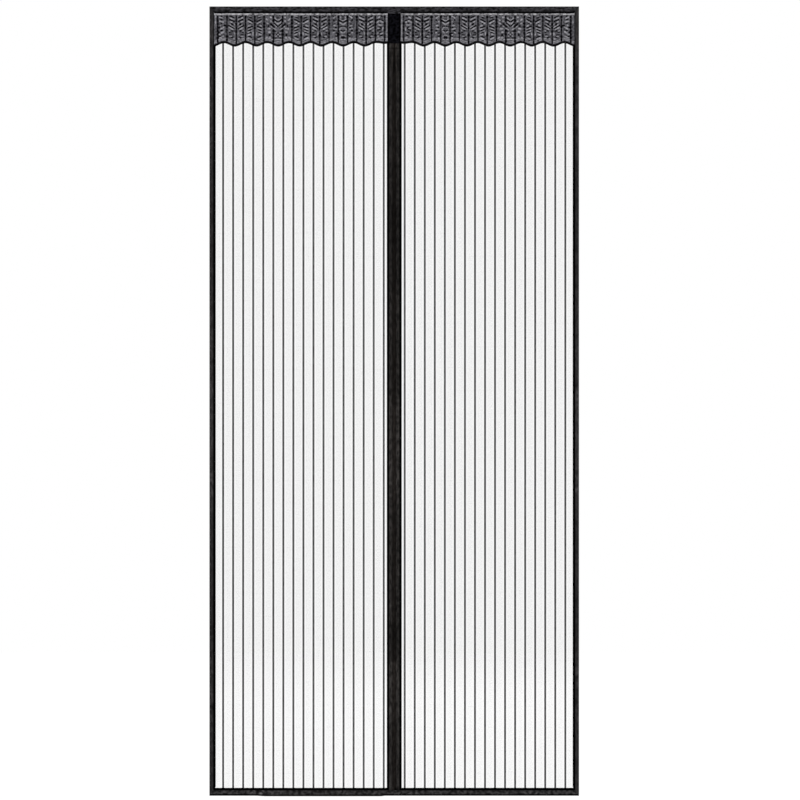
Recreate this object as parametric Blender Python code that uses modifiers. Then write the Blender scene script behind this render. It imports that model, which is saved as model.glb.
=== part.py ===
"""Magnetic insect screen for a doorway, modelled in metres with +Z up.

Two net panels hang side by side and meet at the centre line, where magnets in
two narrow channels pull the inner edges together. Folded tape binds every edge,
a lace strip with a scalloped edge hangs below the top, and fastening tape on
the back holds the top and the outer edges to the door frame.

The front faces -Y. The origin is the centre of the top fastening tape's back
face, so the back of the fastening lies in the plane Y = 0.
"""
import math

import bmesh
import bpy
from mathutils import Matrix, Vector

OBJECT_NAME = "magnetic_insect_screen"

# Overall size
WIDTH = 0.983
HEIGHT = 2.100

# Thicknesses and fits
TAPE_THICKNESS = 0.0006
NET_THICKNESS = 0.0005
LACE_THICKNESS = 0.0006
LOOP_THICKNESS = 0.0015
CLEARANCE = 0.0003
MITRE_CLEARANCE = 0.0005

# Visible widths of the binding on its front leaf, and how much wider its back leaf is
TOP_LEAF = 0.013
SIDE_LEAF = 0.010
BOTTOM_LEAF = 0.0155
CENTRE_LEAF = 0.0136
BACK_LEAF_EXTRA = 0.0056
FOLD_SEGMENTS = 4

# Net: woven stripes, each between two open lines
STRIPE_WIDTH = 0.004
STRIPE_RISE = 0.0003
STRIPE_PITCH = 0.0267
FIRST_STRIPE_FROM_CENTRE = 0.0279
OPEN_LINE_WIDTH = 0.0045
OPEN_LINE_ROWS = 3
CROSS_BAND = 0.0015
OPEN_LINE_MARGIN = 0.003

# Magnets and their channels
MAGNET_WIDTH = 0.0045
MAGNET_THICKNESS = 0.0025
MAGNET_LENGTH = 0.012
MAGNET_CHAMFER = 0.0003
MAGNET_PAIRS = 13
FIRST_MAGNET_DEPTH = 0.125
LAST_MAGNET_HEIGHT = 0.075
CHANNEL_CORNER = 0.0004
CHANNEL_STEP_RUN = 0.0008

# Patch over the top of the two centre bindings
PATCH_WIDTH = 0.031
PATCH_DEPTH = 0.0982
PATCH_TUCK = 0.007

# Lace valance
VALANCE_DEPTH = 0.0997
VALANCE_TUCK = 0.010
VALANCE_END_GAP = 0.001
SCALLOP_RISE = 0.0036
SCALLOP_POINTS = 6
HEM_WIDTH = 0.003
LACE_BAND = 0.0095
PATTERN_MARGIN = 0.0035
HEADER_BAND = 0.0045
RIB_PITCH = 0.02465
RIBS_PER_THREE_SCALLOPS = 7
RIB_WIDTH = 0.0020
RIB_RISE = 0.0003
FIRST_RIB_FROM_END = 0.0092
FIRST_LOBE_FROM_RIB = -0.0037
RIBS_BEFORE_MOTIF = 2
STROKE_WIDTH = 0.0030
EYELET_SIZE = 0.0046
LEAF_EYELET_OFFSET = 0.0078
LEAF_EYELET_DEPTHS = (0.052, 0.064)
FAN_EYELET_OFFSET = 0.0062
FAN_EYELET_DEPTH = 0.047
LADDER_SLOT = 0.012
LADDER_DEPTHS = (0.012, 0.028, 0.044, 0.060)
LACE_GAP = 0.0012
SHORTEST_STROKE = 0.003

# Strokes of the lace motifs: distance from the centre and depth, at the outer and the inner end
LEAF_STROKES = (
    (0.020, 0.008, 0.003, 0.013),
    (0.020, 0.016, 0.003, 0.023),
    (0.014, 0.025, 0.003, 0.034),
    (0.020, 0.030, 0.004, 0.044),
)
FAN_STROKES = (
    (0.020, 0.017, 0.003, 0.024),
    (0.020, 0.041, 0.003, 0.033),
    (0.020, 0.063, 0.003, 0.054),
)

# Fastening tape on the back
LOOP_INSET = 0.001
TOP_LOOP_WIDTH = 0.014
SIDE_LOOP_WIDTH = 0.012
LOOP_CHAMFER = 0.0003

# Layers, as distances in front of the back plane
BACK_LEAF_MID = LOOP_THICKNESS + CLEARANCE + TAPE_THICKNESS / 2
NET_BACK = BACK_LEAF_MID + TAPE_THICKNESS / 2 + CLEARANCE
NET_FRONT = NET_BACK + NET_THICKNESS
COVER_BACK = NET_FRONT + STRIPE_RISE + CLEARANCE
FRONT_LEAF_MID = COVER_BACK + TAPE_THICKNESS / 2
LACE_FRONT = COVER_BACK + LACE_THICKNESS
TOP_LEAF_MID = max(LACE_FRONT, FRONT_LEAF_MID + TAPE_THICKNESS / 2) + CLEARANCE + TAPE_THICKNESS / 2
MAGNET_BACK = BACK_LEAF_MID + TAPE_THICKNESS / 2 + CLEARANCE
CHANNEL_MID = max(
    MAGNET_BACK + MAGNET_THICKNESS + CLEARANCE + TAPE_THICKNESS / 2,
    FRONT_LEAF_MID,
)
PATCH_MID = CHANNEL_MID + TAPE_THICKNESS + CLEARANCE

# Places in the plane of the screen
TOP_Z = LOOP_INSET + TOP_LOOP_WIDTH / 2
BOTTOM_Z = TOP_Z - HEIGHT
HALF_WIDTH = WIDTH / 2
TOP_BACK_LEAF = TOP_LEAF + BACK_LEAF_EXTRA
SIDE_BACK_LEAF = SIDE_LEAF + BACK_LEAF_EXTRA
BOTTOM_BACK_LEAF = BOTTOM_LEAF + BACK_LEAF_EXTRA
CENTRE_BACK_LEAF = CENTRE_LEAF + BACK_LEAF_EXTRA
INNER_EDGE = CLEARANCE / 2
MAGNET_FROM_CENTRE = INNER_EDGE + TAPE_THICKNESS + CLEARANCE
NET_FROM_CENTRE = MAGNET_FROM_CENTRE + MAGNET_WIDTH + CLEARANCE
VALANCE_INNER = max(CENTRE_LEAF, PATCH_WIDTH / 2) + VALANCE_END_GAP
VALANCE_OUTER = HALF_WIDTH - SIDE_LEAF - VALANCE_END_GAP
SCALLOP_PITCH = RIB_PITCH * RIBS_PER_THREE_SCALLOPS / 3
LACE_TOP = TOP_Z - TOP_LEAF - PATTERN_MARGIN

SIDES = {"left": -1, "right": 1}


def clear_scene():
    """Remove every object that the file starts with."""
    for obj in list(bpy.data.objects):
        bpy.data.objects.remove(obj)


def make_material(name, colour, roughness, metallic=0.0, alpha=1.0):
    """Return a Principled material with its main values set."""
    material = bpy.data.materials.new(name)
    material.use_nodes = True
    shader = material.node_tree.nodes["Principled BSDF"]
    shader.inputs["Base Color"].default_value = (*colour, 1.0)
    shader.inputs["Roughness"].default_value = roughness
    shader.inputs["Metallic"].default_value = metallic
    shader.inputs["Alpha"].default_value = alpha
    return material


def tape_material(name):
    return make_material(name, (0.030, 0.029, 0.030), 0.72)


def patch_material(name):
    return make_material(name, (0.006, 0.006, 0.006), 0.85)


def net_material(name):
    return make_material(name, (0.055, 0.055, 0.058), 0.85, alpha=0.30)


def lace_material(name):
    return make_material(name, (0.100, 0.097, 0.106), 0.80)


def loop_material(name):
    return make_material(name, (0.012, 0.012, 0.013), 0.95)


def magnet_material(name):
    return make_material(name, (0.045, 0.045, 0.048), 0.55)


def add_object(name, bm, collection, material):
    """Turn a bmesh into a named object with outward faces and its own material."""
    bmesh.ops.recalc_face_normals(bm, faces=bm.faces)
    mesh = bpy.data.meshes.new(name)
    bm.to_mesh(mesh)
    bm.free()
    mesh.materials.append(material)
    obj = bpy.data.objects.new(name, mesh)
    collection.objects.link(obj)
    return obj


def swept_tape(name, section, ends, place, material, collection):
    """Sweep an open tape section from end to end and give it its thickness.

    section lists (inward, depth) points of the tape's middle surface. ends
    returns the two ends of the run at a section point, so that an end can be
    square or mitred. place turns (along, inward, depth) into a point.
    """
    bm = bmesh.new()
    first_row = []
    for index, (inward, depth) in enumerate(section):
        along = ends(index, inward)[0]
        first_row.append(bm.verts.new(place(along, inward, depth)))
    edges = [bm.edges.new(pair) for pair in zip(first_row, first_row[1:])]
    swept = bmesh.ops.extrude_edge_only(bm, edges=edges)["geom"]
    far_verts = {vert for vert in swept if isinstance(vert, bmesh.types.BMVert)}
    for index, near in enumerate(first_row):
        inward, depth = section[index]
        far = next(e.other_vert(near) for e in near.link_edges if e.other_vert(near) in far_verts)
        far.co = place(ends(index, inward)[1], inward, depth)
    obj = add_object(name, bm, collection, material)
    wall = obj.modifiers.new("tape_thickness", "SOLIDIFY")
    wall.thickness = TAPE_THICKNESS
    wall.offset = 0.0
    wall.use_even_offset = True
    return obj


def fold_section(front_leaf, back_leaf, front_mid):
    """Section of a tape folded round an edge, from its front leaf to its back leaf."""
    radius = (front_mid - BACK_LEAF_MID) / 2
    centre_inward = TAPE_THICKNESS / 2 + radius
    centre_depth = (front_mid + BACK_LEAF_MID) / 2
    points = [(front_leaf, front_mid)]
    for step in range(FOLD_SEGMENTS + 1):
        angle = math.pi / 2 - math.pi * step / FOLD_SEGMENTS
        inward = centre_inward - radius * math.cos(angle)
        points.append((inward, centre_depth + radius * math.sin(angle)))
    points.append((back_leaf, BACK_LEAF_MID))
    return points


def fold_inset(front_mid):
    """Distance from the bound edge to where a sheet inside the fold ends."""
    return TAPE_THICKNESS / 2 + (front_mid - BACK_LEAF_MID) / 2


def channel_section():
    """Section of a centre binding: flat front leaf, magnet channel, back leaf."""
    wall_mid = INNER_EDGE + TAPE_THICKNESS / 2
    channel_end = NET_FROM_CENTRE + TAPE_THICKNESS / 2
    return [
        (CENTRE_LEAF, FRONT_LEAF_MID),
        (channel_end + CHANNEL_STEP_RUN, FRONT_LEAF_MID),
        (channel_end, CHANNEL_MID),
        (wall_mid + CHANNEL_CORNER, CHANNEL_MID),
        (wall_mid, CHANNEL_MID - CHANNEL_CORNER),
        (wall_mid, BACK_LEAF_MID + CHANNEL_CORNER),
        (wall_mid + CHANNEL_CORNER, BACK_LEAF_MID),
        (CENTRE_BACK_LEAF, BACK_LEAF_MID),
    ]


def is_front(section, index):
    """Whether a section point lies in the front half of the fold."""
    return index < len(section) / 2


def mitre_ratio(front, own_leaf, other_leaf):
    """How far an end runs back along its tape for each step away from the edge."""
    own = own_leaf if front else own_leaf + BACK_LEAF_EXTRA
    other = other_leaf if front else other_leaf + BACK_LEAF_EXTRA
    return other / own


def make_top_binding(collection):
    """One folded tape over the whole top edge, mitred to both side bindings."""
    name = "top_binding"
    section = fold_section(TOP_LEAF, TOP_BACK_LEAF, TOP_LEAF_MID)

    def ends(index, inward):
        cut = inward * mitre_ratio(is_front(section, index), TOP_LEAF, SIDE_LEAF)
        reach = HALF_WIDTH - cut - MITRE_CLEARANCE
        return -reach, reach

    def place(along, inward, depth):
        return Vector((along, -depth, TOP_Z - inward))

    swept_tape(name, section, ends, place, tape_material(name), collection)


def make_side_binding(side_name, side, collection):
    """The folded tape of one outer edge, mitred at the top and the bottom."""
    name = f"{side_name}_side_binding"
    section = fold_section(SIDE_LEAF, SIDE_BACK_LEAF, FRONT_LEAF_MID)

    def ends(index, inward):
        front = is_front(section, index)
        top_cut = inward * mitre_ratio(front, SIDE_LEAF, TOP_LEAF)
        bottom_cut = inward * mitre_ratio(front, SIDE_LEAF, BOTTOM_LEAF)
        return TOP_Z - top_cut - MITRE_CLEARANCE, BOTTOM_Z + bottom_cut + MITRE_CLEARANCE

    def place(along, inward, depth):
        return Vector((side * (HALF_WIDTH - inward), -depth, along))

    swept_tape(name, section, ends, place, tape_material(name), collection)


def make_bottom_binding(side_name, side, collection):
    """The folded tape of one lower edge, mitred at the side and the centre."""
    name = f"{side_name}_bottom_binding"
    section = fold_section(BOTTOM_LEAF, BOTTOM_BACK_LEAF, FRONT_LEAF_MID)

    def ends(index, inward):
        front = is_front(section, index)
        outer_cut = inward * mitre_ratio(front, BOTTOM_LEAF, SIDE_LEAF)
        inner_cut = inward * mitre_ratio(front, BOTTOM_LEAF, CENTRE_LEAF)
        return HALF_WIDTH - outer_cut - MITRE_CLEARANCE, inner_cut + MITRE_CLEARANCE

    def place(along, inward, depth):
        return Vector((side * along, -depth, BOTTOM_Z + inward))

    swept_tape(name, section, ends, place, tape_material(name), collection)


def make_centre_binding(side_name, side, collection):
    """The folded tape of one inner edge, with the channel that holds the magnets."""
    name = f"{side_name}_centre_binding"
    section = channel_section()

    def ends(index, inward):
        front = is_front(section, index)
        bottom_cut = inward * mitre_ratio(front, CENTRE_LEAF, BOTTOM_LEAF)
        top = TOP_Z - TOP_BACK_LEAF - CLEARANCE
        return top, BOTTOM_Z + bottom_cut + MITRE_CLEARANCE

    def place(along, inward, depth):
        return Vector((side * inward, -depth, along))

    swept_tape(name, section, ends, place, tape_material(name), collection)


def make_centre_patch(collection):
    """Tape tucked under the top binding, which steps out over both channels."""
    name = "centre_patch"
    tuck_end = TOP_LEAF + CLEARANCE + TAPE_THICKNESS / 2
    section = [
        (TOP_LEAF - PATCH_TUCK, FRONT_LEAF_MID),
        (tuck_end, FRONT_LEAF_MID),
        (TOP_BACK_LEAF, PATCH_MID),
        (PATCH_DEPTH, PATCH_MID),
    ]

    def ends(index, inward):
        return -PATCH_WIDTH / 2, PATCH_WIDTH / 2

    def place(along, inward, depth):
        return Vector((along, -depth, TOP_Z - inward))

    swept_tape(name, section, ends, place, patch_material(name), collection)


def move_new_verts(bm, geometry, distance):
    """Move the verts of an extrusion towards the front by a distance."""
    verts = [item for item in geometry if isinstance(item, bmesh.types.BMVert)]
    bmesh.ops.translate(bm, verts=verts, vec=Vector((0, -distance, 0)))


def thicken(bm, thickness):
    """Give a flat sheet its thickness, with the sheet itself as the front face."""
    sheet = bmesh.ops.extrude_face_region(bm, geom=list(bm.faces))["geom"]
    move_new_verts(bm, sheet, -thickness)


def raise_faces(bm, faces, rise):
    """Raise faces of the front above the rest, with walls round them."""
    edges = list({edge for face in faces for edge in face.edges})
    raised = bmesh.ops.extrude_face_region(bm, geom=faces + edges)["geom"]
    move_new_verts(bm, raised, rise)


def stripe_centres():
    """Distances of the woven stripes from the centre line."""
    outermost = HALF_WIDTH - SIDE_BACK_LEAF - OPEN_LINE_WIDTH - STRIPE_WIDTH / 2
    count = int((outermost - FIRST_STRIPE_FROM_CENTRE) / STRIPE_PITCH) + 1
    return [FIRST_STRIPE_FROM_CENTRE + STRIPE_PITCH * n for n in range(count)]


def net_columns():
    """Column edges of a net panel, in order: plain, open, stripe, open, plain."""
    outer = HALF_WIDTH - fold_inset(FRONT_LEAF_MID)
    columns = [NET_FROM_CENTRE]
    for centre in stripe_centres():
        half = STRIPE_WIDTH / 2
        columns += [
            centre - half - OPEN_LINE_WIDTH,
            centre - half,
            centre + half,
            centre + half + OPEN_LINE_WIDTH,
        ]
    return columns + [outer]


def net_rows():
    """Row edges of a net panel from the bottom up: plain bands between open rows."""
    bottom = BOTTOM_Z + fold_inset(FRONT_LEAF_MID)
    top = TOP_Z - fold_inset(TOP_LEAF_MID)
    open_bottom = BOTTOM_Z + BOTTOM_BACK_LEAF + OPEN_LINE_MARGIN
    open_top = TOP_Z - TOP_BACK_LEAF - OPEN_LINE_MARGIN
    open_height = (open_top - open_bottom - CROSS_BAND * (OPEN_LINE_ROWS - 1)) / OPEN_LINE_ROWS
    rows = [bottom]
    for n in range(OPEN_LINE_ROWS):
        start = open_bottom + n * (open_height + CROSS_BAND)
        rows += [start, start + open_height]
    return rows + [top]


def make_net(side_name, side, collection):
    """One net panel: a thin wall with raised stripes and open lines beside them."""
    name = f"{side_name}_mesh"
    columns = net_columns()
    rows = net_rows()
    column_count = len(columns) - 1
    row_count = len(rows) - 1
    bm = bmesh.new()
    bmesh.ops.create_grid(bm, x_segments=column_count, y_segments=row_count, size=1.0)

    def column_row(point):
        return (point.x + 1) / 2 * column_count, (point.y + 1) / 2 * row_count

    open_faces = []
    stripe_faces = []
    for face in bm.faces:
        column, row = (int(value) for value in column_row(face.calc_center_median()))
        if column % 2 == 1 and row % 2 == 1:
            open_faces.append(face)
        if column % 4 == 2:
            stripe_faces.append(face)
    for vert in bm.verts:
        column, row = (round(value) for value in column_row(vert.co))
        vert.co = Vector((side * columns[column], -NET_FRONT, rows[row]))
    bmesh.ops.delete(bm, geom=open_faces, context="FACES")

    thicken(bm, NET_FRONT - NET_BACK)
    raise_faces(bm, stripe_faces, STRIPE_RISE)
    add_object(name, bm, collection, net_material(name))


def rib_places():
    """Distances of the lace ribs from the centre line, from the outer end inward."""
    first = VALANCE_OUTER - FIRST_RIB_FROM_END
    count = int((first - VALANCE_INNER - RIB_WIDTH - LACE_GAP) / RIB_PITCH) + 1
    return [first - RIB_PITCH * n for n in range(count)]


def lace_edge(distance):
    """Height of the scalloped edge at a distance from the centre line."""
    first_lobe = rib_places()[0] - RIBS_BEFORE_MOTIF * RIB_PITCH - FIRST_LOBE_FROM_RIB
    turn = 2 * math.pi * (distance - first_lobe) / SCALLOP_PITCH
    return TOP_Z - VALANCE_DEPTH - SCALLOP_RISE * math.cos(turn)


def lace_body():
    """Outline of a valance above its hem: scalloped below, then the straight top."""
    top = TOP_Z - TOP_LEAF + VALANCE_TUCK
    span = VALANCE_OUTER - VALANCE_INNER
    steps = round(SCALLOP_POINTS * span / SCALLOP_PITCH)
    lower = []
    for n in range(steps + 1):
        distance = VALANCE_INNER + span * n / steps
        lower.append((distance, lace_edge(distance) + HEM_WIDTH))
    return lower, [(VALANCE_OUTER, top), (VALANCE_INNER, top)]


def motif_centres():
    """Motif centres along a valance: leaf and fan in turn, on or between ribs."""
    first = rib_places()[0] - RIBS_BEFORE_MOTIF * RIB_PITCH
    centres = []
    while True:
        half_ribs = int(2 * RIBS_PER_THREE_SCALLOPS * len(centres) / 3)
        centre = first - half_ribs * RIB_PITCH / 2
        if centre < VALANCE_INNER + RIB_PITCH:
            return centres
        centres.append(centre)


def clip_to_cells(left, right):
    """Parts of the span from left to right that stay clear of every rib."""
    spans = [(left, right)]
    keep_off = RIB_WIDTH / 2 + LACE_GAP
    for rib in rib_places():
        pieces = []
        for start, end in spans:
            pieces += [(start, min(end, rib - keep_off)), (max(start, rib + keep_off), end)]
        spans = [piece for piece in pieces if piece[1] - piece[0] >= SHORTEST_STROKE]
    return spans


def stroke(start, end):
    """Slanted slots between two (distance, depth) points, cut short at the ribs."""
    (left, left_depth), (right, right_depth) = sorted([start, end])
    slope = (right_depth - left_depth) / (right - left)
    half = STROKE_WIDTH / 2
    gaps = []
    for near, far in clip_to_cells(left, right):
        near_z = LACE_TOP - (left_depth + slope * (near - left))
        far_z = LACE_TOP - (left_depth + slope * (far - left))
        gaps.append([(near, near_z - half), (far, far_z - half), (far, far_z + half), (near, near_z + half)])
    return gaps


def eyelet(centre, depth, width=EYELET_SIZE, height=EYELET_SIZE):
    """A diamond-shaped hole, left out where it would cut a rib."""
    clear = RIB_WIDTH / 2 + LACE_GAP + width / 2
    if any(abs(centre - rib) < clear for rib in rib_places()):
        return []
    z = LACE_TOP - depth
    corners = [
        (centre - width / 2, z),
        (centre, z - height / 2),
        (centre + width / 2, z),
        (centre, z + height / 2),
    ]
    return [corners]


def leaf_motif(centre):
    """Nested chevrons that grow steeper, with a ring of eyelets below."""
    gaps = []
    for side in (-1, 1):
        for outer, outer_depth, inner, inner_depth in LEAF_STROKES:
            gaps += stroke((centre + side * outer, outer_depth), (centre + side * inner, inner_depth))
        for depth in LEAF_EYELET_DEPTHS:
            gaps += eyelet(centre + side * LEAF_EYELET_OFFSET, depth)
    return gaps


def fan_motif(centre):
    """A shallow chevron, two roof-shaped strokes below it and an eyelet between."""
    gaps = []
    for side in (-1, 1):
        for outer, outer_depth, inner, inner_depth in FAN_STROKES:
            gaps += stroke((centre + side * outer, outer_depth), (centre + side * inner, inner_depth))
        gaps += eyelet(centre + side * FAN_EYELET_OFFSET, FAN_EYELET_DEPTH)
    return gaps


def ladder(centre):
    """Short level slots down the middle of a plain cell."""
    gaps = []
    for depth in LADDER_DEPTHS:
        gaps += stroke((centre - LADDER_SLOT / 2, depth), (centre + LADDER_SLOT / 2, depth))
    return gaps


def lace_gaps():
    """Every opening of one valance."""
    centres = motif_centres()
    gaps = []
    for number, centre in enumerate(centres):
        gaps += leaf_motif(centre) if number % 2 == 0 else fan_motif(centre)
    ribs = rib_places()
    for outer, inner in zip(ribs, ribs[1:]):
        middle = (outer + inner) / 2
        if middle > centres[0] + RIB_PITCH or middle < centres[-1] - RIB_PITCH:
            gaps += ladder(middle)
    return gaps


def rib_outlines():
    """Footprints of the raised ribs, from the header to the plain lower band."""
    top = LACE_TOP - HEADER_BAND
    outlines = []
    for rib in rib_places():
        near = rib - RIB_WIDTH / 2
        far = rib + RIB_WIDTH / 2
        bottom = max(lace_edge(near), lace_edge(far)) + LACE_BAND
        outlines.append([(near, bottom), (far, bottom), (far, top), (near, top)])
    return outlines


def make_valance(side_name, side, collection):
    """One lace strip: a thin wall with openings, raised ribs and a scalloped hem."""
    name = f"{side_name}_valance"
    bm = bmesh.new()

    def add_loop(points):
        verts = [bm.verts.new((side * distance, -LACE_FRONT, z)) for distance, z in points]
        return [bm.edges.new(pair) for pair in zip(verts, verts[1:] + verts[:1])]

    lower, upper = lace_body()
    body_loop = add_loop(lower + upper)
    loops = [body_loop] + [add_loop(points) for points in lace_gaps()]
    rib_loops = [add_loop(points) for points in rib_outlines()]
    edges = [edge for loop in loops + rib_loops for edge in loop]
    bmesh.ops.triangle_fill(bm, use_beauty=True, edges=edges, normal=Vector((0, -1, 0)))
    raised_faces = []
    for loop in rib_loops:
        raised_faces += bmesh.ops.edgeloop_fill(bm, edges=loop)["faces"]

    hem = bmesh.ops.extrude_edge_only(bm, edges=body_loop[: len(lower) - 1])["geom"]
    hem_verts = [item for item in hem if isinstance(item, bmesh.types.BMVert)]
    bmesh.ops.translate(bm, verts=hem_verts, vec=Vector((0, 0, -HEM_WIDTH)))
    raised_faces += [item for item in hem if isinstance(item, bmesh.types.BMFace)]

    thicken(bm, LACE_THICKNESS)
    raise_faces(bm, raised_faces, RIB_RISE)
    add_object(name, bm, collection, lace_material(name))


def make_block(name, size, centre, chamfer, material, collection):
    """A rectangular block with chamfered edges."""
    bm = bmesh.new()
    bmesh.ops.create_cube(bm, size=1.0, matrix=Matrix.Diagonal((*size, 1.0)))
    obj = add_object(name, bm, collection, material)
    obj.location = centre
    edge = obj.modifiers.new("edges", "BEVEL")
    edge.width = chamfer
    edge.segments = 1
    edge.limit_method = "ANGLE"
    return obj


def make_magnets(side_name, side, collection):
    """A column of magnets in the channel of one centre binding."""
    top = TOP_Z - FIRST_MAGNET_DEPTH
    bottom = BOTTOM_Z + LAST_MAGNET_HEIGHT
    pitch = (top - bottom) / (MAGNET_PAIRS - 1)
    for number in range(MAGNET_PAIRS):
        name = f"{side_name}_magnet_{number + 1:02d}"
        centre = Vector(
            (
                side * (MAGNET_FROM_CENTRE + MAGNET_WIDTH / 2),
                -(MAGNET_BACK + MAGNET_THICKNESS / 2),
                top - pitch * number,
            )
        )
        size = (MAGNET_WIDTH, MAGNET_THICKNESS, MAGNET_LENGTH)
        make_block(name, size, centre, MAGNET_CHAMFER, magnet_material(name), collection)


def make_loop_tapes(collection):
    """Fastening tape on the back: one strip along the top and one down each side."""
    top_size = (WIDTH - 2 * LOOP_INSET, LOOP_THICKNESS, TOP_LOOP_WIDTH)
    top_centre = Vector((0, -LOOP_THICKNESS / 2, 0))
    name = "top_loop_tape"
    make_block(name, top_size, top_centre, LOOP_CHAMFER, loop_material(name), collection)

    side_top = -TOP_LOOP_WIDTH / 2 - CLEARANCE
    side_bottom = BOTTOM_Z + LOOP_INSET
    side_size = (SIDE_LOOP_WIDTH, LOOP_THICKNESS, side_top - side_bottom)
    for side_name, side in SIDES.items():
        x = side * (HALF_WIDTH - LOOP_INSET - SIDE_LOOP_WIDTH / 2)
        centre = Vector((x, -LOOP_THICKNESS / 2, (side_top + side_bottom) / 2))
        name = f"{side_name}_loop_tape"
        make_block(name, side_size, centre, LOOP_CHAMFER, loop_material(name), collection)


def main():
    clear_scene()
    collection = bpy.data.collections.new(OBJECT_NAME)
    bpy.context.scene.collection.children.link(collection)
    make_top_binding(collection)
    make_centre_patch(collection)
    for side_name, side in SIDES.items():
        make_net(side_name, side, collection)
        make_valance(side_name, side, collection)
        make_side_binding(side_name, side, collection)
        make_bottom_binding(side_name, side, collection)
        make_centre_binding(side_name, side, collection)
        make_magnets(side_name, side, collection)
    make_loop_tapes(collection)


main()
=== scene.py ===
"""The magnetic insect screen with its cloth, threads, lace, seams and studio.

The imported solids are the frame. Every piece here is built round them, in metres
with +Z up and the front facing -Y, and rides on the frame's one body.
"""

import logging
import math
from dataclasses import dataclass
from enum import Enum
from typing import Callable, Sequence

import bmesh
import bpy
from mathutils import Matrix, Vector, noise
from mathutils.geometry import delaunay_2d_cdt

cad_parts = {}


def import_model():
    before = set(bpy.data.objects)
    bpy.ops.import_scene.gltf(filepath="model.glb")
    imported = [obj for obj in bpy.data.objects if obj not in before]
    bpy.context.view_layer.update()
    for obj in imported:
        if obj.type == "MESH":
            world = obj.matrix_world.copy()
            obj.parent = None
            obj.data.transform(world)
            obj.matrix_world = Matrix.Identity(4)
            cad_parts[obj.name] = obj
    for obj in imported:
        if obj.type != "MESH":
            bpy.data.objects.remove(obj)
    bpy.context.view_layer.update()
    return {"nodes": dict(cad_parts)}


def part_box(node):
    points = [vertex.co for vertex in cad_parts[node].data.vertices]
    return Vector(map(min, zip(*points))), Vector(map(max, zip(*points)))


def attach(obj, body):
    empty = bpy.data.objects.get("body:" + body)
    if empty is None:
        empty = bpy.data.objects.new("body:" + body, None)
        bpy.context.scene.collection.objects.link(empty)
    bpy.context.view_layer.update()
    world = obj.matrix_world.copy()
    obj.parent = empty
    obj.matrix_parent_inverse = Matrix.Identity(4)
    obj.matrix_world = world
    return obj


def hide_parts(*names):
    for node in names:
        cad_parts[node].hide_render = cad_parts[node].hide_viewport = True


LOG = logging.getLogger("insect_screen")
BODY = "root"

Socket = bpy.types.NodeSocket
Material = bpy.types.Material
Piece = bpy.types.Object
Pair = tuple[float, float]
Point = tuple[float, float]
Outline = list[Point]
Path = list[Vector]


class Side(Enum):
    """The two halves of the screen, seen from the front."""

    LEFT = -1
    RIGHT = 1

    @property
    def label(self) -> str:
        """The side's name as the solids spell it."""
        return self.name.lower()


class Slot(Enum):
    """The record's material slots, named in the log for the new pieces."""

    TAPE = "tape"
    NET = "net"
    LACE = "lace"
    PATCH = "patch"
    LOOP = "loop"


# Shader building


class NodeTree:
    """A node tree while it is put together."""

    prefix = ""

    def __init__(self, tree: bpy.types.NodeTree) -> None:
        """Take the tree to fill."""
        self.tree = tree

    def node(self, kind: str, settings: dict | None = None, inputs: dict | None = None) -> bpy.types.Node:
        """Add a node.

        Args:
            kind: The node's type name without the tree's prefix.
            settings: Properties of the node itself.
            inputs: Values or other nodes' sockets for its inputs.

        Returns:
            The new node.
        """
        made = self.tree.nodes.new(self.prefix + kind)
        for key, value in (settings or {}).items():
            setattr(made, key, value)
        for key, value in (inputs or {}).items():
            self.feed(made.inputs[key], value)
        return made

    def feed(self, socket: Socket, value: object) -> None:
        """Link a socket to an input, or set the input's own value.

        Args:
            socket: The input.
            value: Another node's socket, or a plain value.
        """
        if isinstance(value, Socket):
            self.tree.links.new(value, socket)
        else:
            socket.default_value = value


class ShaderTree(NodeTree):
    """The node tree of a material or a world."""

    prefix = "ShaderNode"

    def math(self, operation: str, first: object, second: object = 0.0) -> Socket:
        """Return the result of one sum on two numbers."""
        return self.node("Math", {"operation": operation}, {0: first, 1: second}).outputs[0]

    def background_rays(self) -> Socket:
        """Return 1 for rays that show the background: camera, glossy and transmission."""
        path = self.node("LightPath")
        seen = self.math("MAXIMUM", path.outputs["Is Camera Ray"], path.outputs["Is Glossy Ray"])
        return self.math("MAXIMUM", seen, path.outputs["Is Transmission Ray"])


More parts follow.
